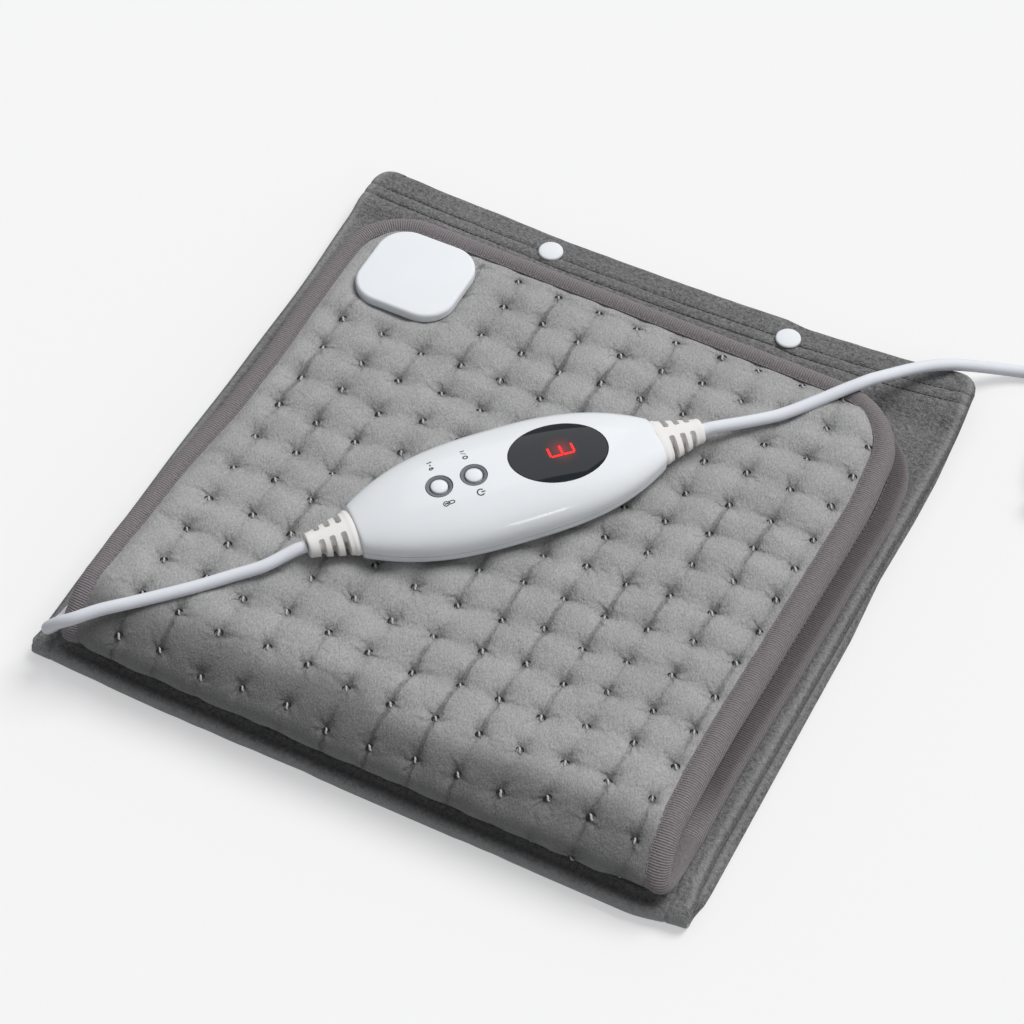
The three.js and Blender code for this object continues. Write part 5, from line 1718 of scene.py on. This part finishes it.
def housing_half(sign):
    """One half of the housing: a loft, a skirt to the parting line, two end walls and a thickness"""
    power = 2 / (TOP_CURVE if sign > 0 else BOTTOM_CURVE)
    height = rise if sign > 0 else drop
    outline = []
    for angle in np.linspace(0, math.pi, 61):
        c, s = round(math.cos(angle), 9), abs(math.sin(angle))
        outline.append((math.copysign(abs(math.cos(angle)) ** power, c) if c else 0.0, s ** power * sign))
    outline[0], outline[-1] = (1.0, 0.0), (-1.0, 0.0)
    middle = PARTING + sign * SKIRT
    shares = [-1 + k / 36 for k in range(73)]
    piece = stretched(outline, [(u * HALF, half_width(u), height(u) - SKIRT, middle) for u in shares])
    choose(piece, lambda v: False)
    bpy.ops.mesh.select_mode(type="EDGE")
    mesh = bmesh.from_edit_mesh(piece.data)
    for edge in mesh.edges:
        edge.select = edge.is_boundary and all(abs(v.co.z - middle * MM) < 1e-6 for v in edge.verts)
    bmesh.update_edit_mesh(piece.data)
    bpy.ops.mesh.extrude_edges_move(TRANSFORM_OT_translate={"value": (0, 0, -sign * (SKIRT - 0.15) * MM)})
    for end in (-HALF, HALF):
        close_end(piece, end)
    bpy.ops.object.mode_set(mode="OBJECT")
    turn_outwards(piece)
    round_edges(piece, 0.9, 3, 50)
    thicken(piece, 2.2, -1)
    apply_modifiers(piece)
    return piece


def cut_with(piece, cutters):
    """Cuts the cutters out of a piece, and removes them"""
    for cutter in cutters:
        cut = piece.modifiers.new("Cut", "BOOLEAN")
        cut.operation = "DIFFERENCE"
        cut.solver = "EXACT"
        cut.object = cutter
        apply_modifiers(piece)
        bpy.data.objects.remove(cutter)


def opening(x, radius_x, radius_y, sides):
    """An upright oval cylinder that cuts an opening in the housing's top, with a gap round the radii"""
    low, high, gap = OPENING["low"], OPENING["high"], OPENING["gap"]
    clear_selection()
    bpy.ops.mesh.primitive_cylinder_add(vertices=sides, radius=1, depth=(high - low) * MM)
    piece = bpy.context.object
    piece.scale = ((radius_x + gap) * MM, (radius_y + gap) * MM, 1)
    piece.location = (x * MM, 0, (low + high) / 2 * MM)
    settle_place(piece)
    return piece


def draped(piece, lift=0.0):
    """Moves a flat piece's vertices up onto the housing's top"""
    for vertex in piece.data.vertices:
        vertex.co.z += (dome(vertex.co.x / MM, vertex.co.y / MM) + lift) * MM
    piece.data.update()


def lens_piece():
    """The oval window: rings drawn in from its edge, a thickness, and a rounded rim"""
    clear_selection()
    bpy.ops.mesh.primitive_circle_add(vertices=96, radius=1, fill_type="NOTHING")
    piece = bpy.context.object
    piece.scale = (LENS["a"] * MM, LENS["b"] * MM, 1)
    settle_place(piece)
    bpy.ops.object.mode_set(mode="EDIT")
    bpy.ops.mesh.select_all(action="SELECT")
    rings = (1.0, 0.985, 0.94, 0.86, 0.76, 0.64, 0.5, 0.35, 0.2, 0.08)
    for before, after in zip(rings, rings[1:]):
        bpy.ops.mesh.extrude_region_move(TRANSFORM_OT_translate={"value": (0, 0, 0)})
        bpy.ops.transform.resize(value=(after / before, after / before, 1), center_override=(0, 0, 0))
    bpy.ops.mesh.edge_face_add()
    bpy.ops.object.mode_set(mode="OBJECT")
    turn_outwards(piece)
    for vertex in piece.data.vertices:
        vertex.co.x += LENS["s"] * MM
    draped(piece)
    thicken(piece, 1.6, -1 if piece.data.polygons[0].normal.z > 0 else 1)
    round_edges(piece, 0.25, 2, 50)
    apply_modifiers(piece)
    turn_outwards(piece, merge=True)
    smooth(piece, 45)
    return piece


def ribbon(path, width, closed=False):
    """A flat stroke of the given width through points in s and w, with w towards the camera"""
    points = [np.array(p, float) for p in path]
    if closed:
        points = [*points, points[0], points[1]]
    sides = []
    for i, p in enumerate(points):
        before, after = points[max(0, i - 1)], points[min(len(points) - 1, i + 1)]
        a = (p - before) / max(np.linalg.norm(p - before), 1e-9)
        b = (after - p) / max(np.linalg.norm(after - p), 1e-9)
        direction = a + b
        if i == 0:
            direction = b
        if i == len(points) - 1:
            direction = a
        direction /= max(np.linalg.norm(direction), 1e-9)
        normal = np.array([-direction[1], direction[0]])
        other = np.array([-b[1], b[0]]) if i < len(points) - 1 else np.array([-a[1], a[0]])
        reach = width / 2 / max(0.5, abs(normal.dot(other)))
        sides.append((p + normal * reach, p - normal * reach))
    if closed:
        sides = [*sides[1:-1], sides[1]]
    flat = [(q[0], -q[1], 0.0) for pair in sides for q in pair]
    faces = [(2 * i, 2 * i + 1, 2 * i + 3, 2 * i + 2) for i in range(len(sides) - 1)]
    return flat, faces


def arc(s, w, radius, start, end, steps=20, stretch=1.0):
    angles = np.radians(np.linspace(start, end, steps + 1))
    return [(s + radius * stretch * math.cos(a), w + radius * math.sin(a)) for a in angles]


def print_marks(finish):
    """Generic marks by the buttons: I and O, a range of numbers, and the usual signs for power and heat"""
    heavy, fine = 0.58, 0.46
    marks = []
    # I / O beside the power button, read with up along +s
    s, w = BUTTONS["power"], -15.6
    marks.append(ribbon([(s - 1, w), (s + 1, w)], heavy))
    marks.append(ribbon([(s - 1.1, w + 1.2), (s + 1.1, w + 2.4)], 0.4))
    marks.append(ribbon(arc(s, w + 4.4, 0.85, 0, 360, 24, 1.2)[:-1], heavy, True))
    # 1 - 6 beside the heat button
    s, w = BUTTONS["heat"] + 0.4, -15.2
    marks.append(ribbon([(s - 1, w), (s + 1, w), (s + 0.55, w - 0.55)], heavy))
    marks.append(ribbon([(s, w + 1.3), (s, w + 2.5)], heavy))
    marks.append(ribbon(arc(s - 0.4, w + 4.2, 0.62, 0, 360, 24)[:-1], heavy, True))
    marks.append(ribbon([(s - 0.35, w + 3.58), (s + 0.3, w + 3.72), (s + 1.0, w + 4.3)], heavy))
    # Power sign
    s, w = BUTTONS["power"] - 0.4, 10.2
    marks.append(ribbon(arc(s, w, 1.6, 40, 320, 26), heavy))
    marks.append(ribbon([(s + 0.2, w), (s + 2.1, w)], heavy))
    # Thermometer
    s, w = BUTTONS["heat"] - 0.4, 10.3
    marks.append(ribbon(arc(s, w, 1.15, 40, 320, 20), fine))
    marks.append(ribbon([(s + 0.88, w - 0.74), (s + 3.2, w - 0.72)], fine))
    marks.append(ribbon([(s + 0.88, w + 0.74), (s + 3.2, w + 0.72)], fine))
    marks.append(ribbon(arc(s + 3.2, w, 0.72, -90, 90, 10), fine))
    marks.append(ribbon([(s - 0.5, w), (s + 1.9, w)], 0.7))
    piece = many("print_marks", marks, finish)
    draped(piece, 0.04)
    in_controller(piece)


def digit_segments(finish):
    """The lit numeral 3, with its top towards +s"""
    low, high, left, right = 20.1, 31.4, -2.75, 2.75
    middle = (low + high) / 2
    gap, thick, steps = 0.25, 0.95, 10
    bars = [[(height, left + 0.2), (height, right - gap)] for height in (low, middle, high)]
    bars += [[(low + gap, right), (middle - gap, right)], [(middle + gap, right), (high - gap, right)]]
    parts = []
    for start, end in np.array(bars):
        parts.append(ribbon([start + (end - start) * k / steps for k in range(steps + 1)], thick))
    piece = many("lit_digit", parts, finish)
    draped(piece, 0.06)
    in_controller(piece)


def relief_piece():
    """A slotted taper round the cord"""
    start = HALF + 0.05
    angles = np.linspace(0, 2 * math.pi, 61)
    outline = [(math.cos(a), math.sin(a)) for a in angles]
    outline[-1] = outline[0]
    # Distances along the taper, and how wide it is there, from 0 at the cord's end to 1
    rows = [
        (0, 0.97), (0.35, 1.0), (1.9, 1.0), (2.3, 0.975), (2.7, 0.92), (3.4, 0.88), (5, 0.81), (7, 0.725),
        (9, 0.64), (11, 0.55), (13, 0.455), (15, 0.36), (17, 0.25), (18.6, 0.17), (19.2, 0.16),
        (19.8, 0.14), (21.5, 0.1), (21.9, 0.05), (RELIEF_LENGTH, 0.0),
    ]
    stations = [(start + along, 5.4 + 7.0 * wide, 5.0 + 1.8 * wide, CABLE_Z) for along, wide in rows]
    piece = stretched(outline, stations)
    for end in (start, start + RELIEF_LENGTH):
        close_end(piece, end)
    bpy.ops.object.mode_set(mode="OBJECT")
    turn_outwards(piece, merge=True)
    for along in (5.9, 11.2, 16.2):
        for side in (-1, 1):
            cut_with(piece, [slot_cutter(start + along, side)])
    return piece


def slot_cutter(s, side):
    """A rounded slab from one side, hollowed round the cord's core"""
    clear_selection()
    bpy.ops.mesh.primitive_cube_add(size=1)
    piece = bpy.context.object
    piece.scale = (2.7 * MM, 12 * MM, 20 * MM)
    piece.location = (s * MM, side * 8.7 * MM, CABLE_Z * MM)
    settle_place(piece)
    round_edges(piece, 0.9, 3)
    apply_modifiers(piece)
    clear_selection()
    bpy.ops.mesh.primitive_cylinder_add(vertices=40, radius=4.1 * MM, depth=12 * MM)
    core = bpy.context.object
    core.rotation_euler = (0, math.pi / 2, 0)
    core.location = (s * MM, 0, CABLE_Z * MM)
    settle_place(core)
    cut_with(piece, [core])
    return piece


def button_bezel(key, s, material):
    """The recessed ring round a button"""
    top = dome(s, 0) - 0.3
    ring = spun([
        (4.35, top - 2), (6.1, top - 2), (BEZEL_RADIUS, top - 0.2), (5.95, top), (5.0, top + 0.02),
        (4.75, top - 0.15), (4.35, top - 0.9), (4.35, top - 2),
    ])
    ring.location = (s * MM, 0, 0)
    settle_place(ring)
    smooth(ring, 40)
    dress(in_controller(ring), f"{key}_bezel", material, [f"{key}_ring"])


class HEATPAD_OT_controller(Builder):
    """Makes the controller's housing, window, digit, marks, rings and strain reliefs"""
    bl_idname = "heatpad.controller"
    bl_label = "Controller"

    def build(self, scene):
        settings = scene.heatpad_controller
        gloss = moulded_finish("housing_plastic", tuple(settings.housing), 0.2, 0.5)
        top = housing_half(1)
        cutters = [opening(LENS["s"], LENS["a"], LENS["b"], 128)]
        cutters += [opening(s, BEZEL_RADIUS, BEZEL_RADIUS, 64) for s in BUTTONS.values()]
        cut_with(top, cutters)
        smooth(top, 35)
        dress(in_controller(top), "housing_top", gloss, ["top_shell"])
        bottom = housing_half(-1)
        smooth(bottom, 35)
        dress(in_controller(bottom), "housing_bottom", gloss, ["bottom_shell"])
        window = in_controller(lens_piece())
        smoked = window_finish("smoked_plastic", settings)
        dress(window, "display_window", smoked, ["display_lens"])
        digit_segments(lit_finish("lit_segments", tuple(settings.lit)))
        print_marks(moulded_finish("printed_ink", tuple(settings.print), 0.5))
        ring_finish = moulded_finish("ring_plastic", tuple(settings.ring), 0.25)
        for key, s in BUTTONS.items():
            button_bezel(key, s, ring_finish)
        relief_finish = moulded_finish("relief_rubber", tuple(settings.relief), 0.42)
        for name, turn in (("relief_mains_end", 0), ("relief_pad_end", math.pi)):
            piece = relief_piece()
            piece.rotation_euler = (0, 0, turn)
            settle_place(piece)
            smooth(piece, 38)
            dress(in_controller(piece), f"{name}_boot", relief_finish, [name])


class HEATPAD_OT_buttons(Builder):
    """Makes the two push buttons"""
    bl_idname = "heatpad.buttons"
    bl_label = "Buttons"

    def build(self, scene):
        finish = moulded_finish("button_plastic", tuple(scene.heatpad_controller.housing), 0.16, 0.6)
        radius, flange = 3.85, 5.2
        for key, s in BUTTONS.items():
            base, shoulder = dome(s, 0) - 2.7, dome(s, 0) - 0.2
            foot = [(0, base - 1), (flange, base - 1), (flange, base)]
            profile = rounded([*foot, (radius, base), (radius, shoulder)], 0.3)
            for angle in np.linspace(0.2, math.pi / 2, 9)[:-1]:
                profile.append((radius * math.cos(angle), shoulder + 0.75 * math.sin(angle)))
            piece = spun([*profile, (0, shoulder + 0.77)])
            piece.location = (s * MM, 0, 0)
            settle_place(piece)
            smooth(piece, 40)
            button = f"{key}_button"
            dress(in_controller(piece), f"{key}_cap", finish, [button], button)


# Connector plate on the pad

class HEATPAD_OT_connector(Builder):
    """Makes the plate that covers the lead's connection to the pad"""
    bl_idname = "heatpad.connector"
    bl_label = "Connector"

    def build(self, scene):
        clear_selection()
        bpy.ops.mesh.primitive_plane_add(size=1)
        piece = bpy.context.object
        piece.scale = (PLATE["width"] * MM, PLATE["depth"] * MM, 1)
        piece.location = (PLATE["x"] * MM, PLATE["y"] * MM, (PLATE_LEVEL + PLATE["under"]) * MM)
        settle_place(piece)
        bpy.ops.object.mode_set(mode="EDIT")
        bpy.ops.mesh.select_all(action="SELECT")
        bpy.ops.mesh.bevel(offset=PLATE["corner"] * MM, segments=14, affect="VERTICES", profile=0.5)
        bpy.ops.mesh.select_all(action="SELECT")
        thickness = (PLATE["top"] - PLATE["under"]) * MM
        bpy.ops.mesh.extrude_region_move(TRANSFORM_OT_translate={"value": (0, 0, thickness)})
        bpy.ops.mesh.select_mode(type="FACE")
        bpy.ops.mesh.bevel(offset=1.7 * MM, segments=6, affect="EDGES")
        bpy.ops.object.mode_set(mode="OBJECT")
        turn_outwards(piece, merge=True)
        smooth(piece, 30)
        gloss = moulded_finish("plate_plastic", tuple(scene.heatpad_controller.housing), 0.3)
        dress(piece, "connector_cap", gloss, ["connector_plate"])


# Solids that stay as they are

class HEATPAD_OT_inner_parts(Builder):
    """Gives the solids that stay their materials"""
    bl_idname = "heatpad.inner_parts"
    bl_label = "Inner parts"

    def build(self, scene):
        slots = {part["node"]: part["material_slot"] for part in frame["record"]["subparts"]}
        made = {}
        for name, node in frame["nodes"].items():
            slot = slots[name]
            if slot not in NODE_FINISHES:
                continue
            if slot not in made:
                made[slot] = NODE_FINISHES[slot]()
            if not node.material_slots:
                node.data.materials.append(made[slot])
            for place in node.material_slots:
                place.material = made[slot]


# Stage

CAMERA_TARGET = Vector((-0.00731, 0.00806, 0))
AIR = {"colour": (0.96, 0.98, 1.0), "strength": 0.3}
KEY_PLACE = Vector((0.48, 0.74, 1.25))
# Names, sizes, energies and places of the area lamps
LAMPS = (
    ("over", 1.6, 5, Vector((-0.75, 1.5, 1.9))),
    ("strip", 0.35, 2, Vector((1.7, -0.75, 1.25))),
)


def aimed(name, data, place, facing):
    """Puts a light or a camera at a place, looking along facing"""
    holder = bpy.data.objects.new(name, data)
    bpy.context.scene.collection.objects.link(holder)
    holder.location = place
    holder.rotation_mode = "QUATERNION"
    holder.rotation_quaternion = facing.to_track_quat("-Z", "Y")
    return holder


def make_camera(settings):
    """The camera, at the photograph's angle"""
    azimuth, elevation = math.radians(settings.azimuth), math.radians(settings.elevation)
    away = math.cos(elevation)
    back = Vector((math.sin(azimuth) * away, -math.cos(azimuth) * away, math.sin(elevation)))
    camera = bpy.data.cameras.new("camera")
    camera.lens = settings.lens
    camera.sensor_width = 36
    bpy.context.scene.camera = aimed("camera", camera, CAMERA_TARGET + back * settings.distance, -back)


def make_floor(settings):
    """A pale floor that gives off a share of its own light, so that its shadows stay soft"""
    clear_selection()
    bpy.ops.mesh.primitive_plane_add(size=9, location=(0, 0, 0))
    floor = bpy.context.object
    floor.name = "floor"
    settle_place(floor)
    finish = Finish("pale_floor")
    seen = finish.node("ShaderNodeLightPath", {}, {}, "Is Camera Ray")
    share, pale = settings.floor_glow, tuple(settings.floor)
    finish.shade({
        "Base Color": finish.blend(seen, (0.5, 0.5, 0.5), scaled(pale, 1 - share)), "Roughness": 0.9,
        "Specular IOR Level": 0.0, "Emission Color": finish.blend(seen, (0, 0, 0), scaled(pale, share)),
        "Emission Strength": 1.0,
    })
    floor.data.materials.append(finish.material)
    floor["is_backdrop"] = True


def make_lights(scene):
    """Even light from all round, a broad sun, and two lamps that give the gloss its highlights"""
    scene.world = bpy.data.worlds.new("studio")
    scene.world.use_nodes = True
    background = scene.world.node_tree.nodes["Background"].inputs
    background["Color"].default_value = (*AIR["colour"], 1)
    background["Strength"].default_value = AIR["strength"]
    key = bpy.data.lights.new("key", "SUN")
    key.energy = 2.55
    key.angle = math.radians(34)
    key.color = (1.0, 0.995, 0.985)
    aimed("key", key, KEY_PLACE, -KEY_PLACE).visible_glossy = False
    for name, size, energy, place in LAMPS:
        lamp = bpy.data.lights.new(name, "AREA")
        lamp.size = size
        lamp.energy = energy
        aimed(name, lamp, place, -place)


class HEATPAD_OT_stage(Builder):
    """Makes the floor, the lights and the camera at the photograph's angle"""
    bl_idname = "heatpad.stage"
    bl_label = "Stage"

    def build(self, scene):
        scene.view_settings.view_transform = "Standard"
        make_camera(scene.heatpad_stage)
        make_floor(scene.heatpad_stage)
        make_lights(scene)


# The add-on

STEPS = [
    HEATPAD_OT_stage, HEATPAD_OT_cords, HEATPAD_OT_pad, HEATPAD_OT_cover, HEATPAD_OT_controller,
    HEATPAD_OT_buttons, HEATPAD_OT_connector, HEATPAD_OT_inner_parts,
]
SETTINGS = {
    "heatpad_pad": PadSettings, "heatpad_cover": CoverSettings, "heatpad_controller": ControllerSettings,
    "heatpad_cords": CordSettings, "heatpad_stage": StageSettings,
}


class HEATPAD_PT_steps(bpy.types.Panel):
    """Lists the building steps"""
    bl_label = "Heating pad"
    bl_idname = "HEATPAD_PT_steps"
    bl_space_type = "VIEW_3D"
    bl_region_type = "UI"
    bl_category = "Heating pad"

    def draw(self, context):
        for step in STEPS:
            self.layout.operator(step.bl_idname)


def register():
    for group in [*SETTINGS.values(), *STEPS, HEATPAD_PT_steps]:
        bpy.utils.register_class(group)
    for name, group in SETTINGS.items():
        setattr(bpy.types.Scene, name, PointerProperty(type=group))


def unregister():
    for name in SETTINGS:
        delattr(bpy.types.Scene, name)
    for group in reversed([*SETTINGS.values(), *STEPS, HEATPAD_PT_steps]):
        bpy.utils.unregister_class(group)


def main():
    """Builds everything"""
    register()
    for step in STEPS:
        getattr(bpy.ops.heatpad, step.bl_idname.split(".")[1])()
    clear_selection()
    boxes = {"cad": CAD_BOX, "visual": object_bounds()}
    {key: [list(corner) for corner in box] for key, box in boxes.items()}


if __name__ == "__main__":
    main()
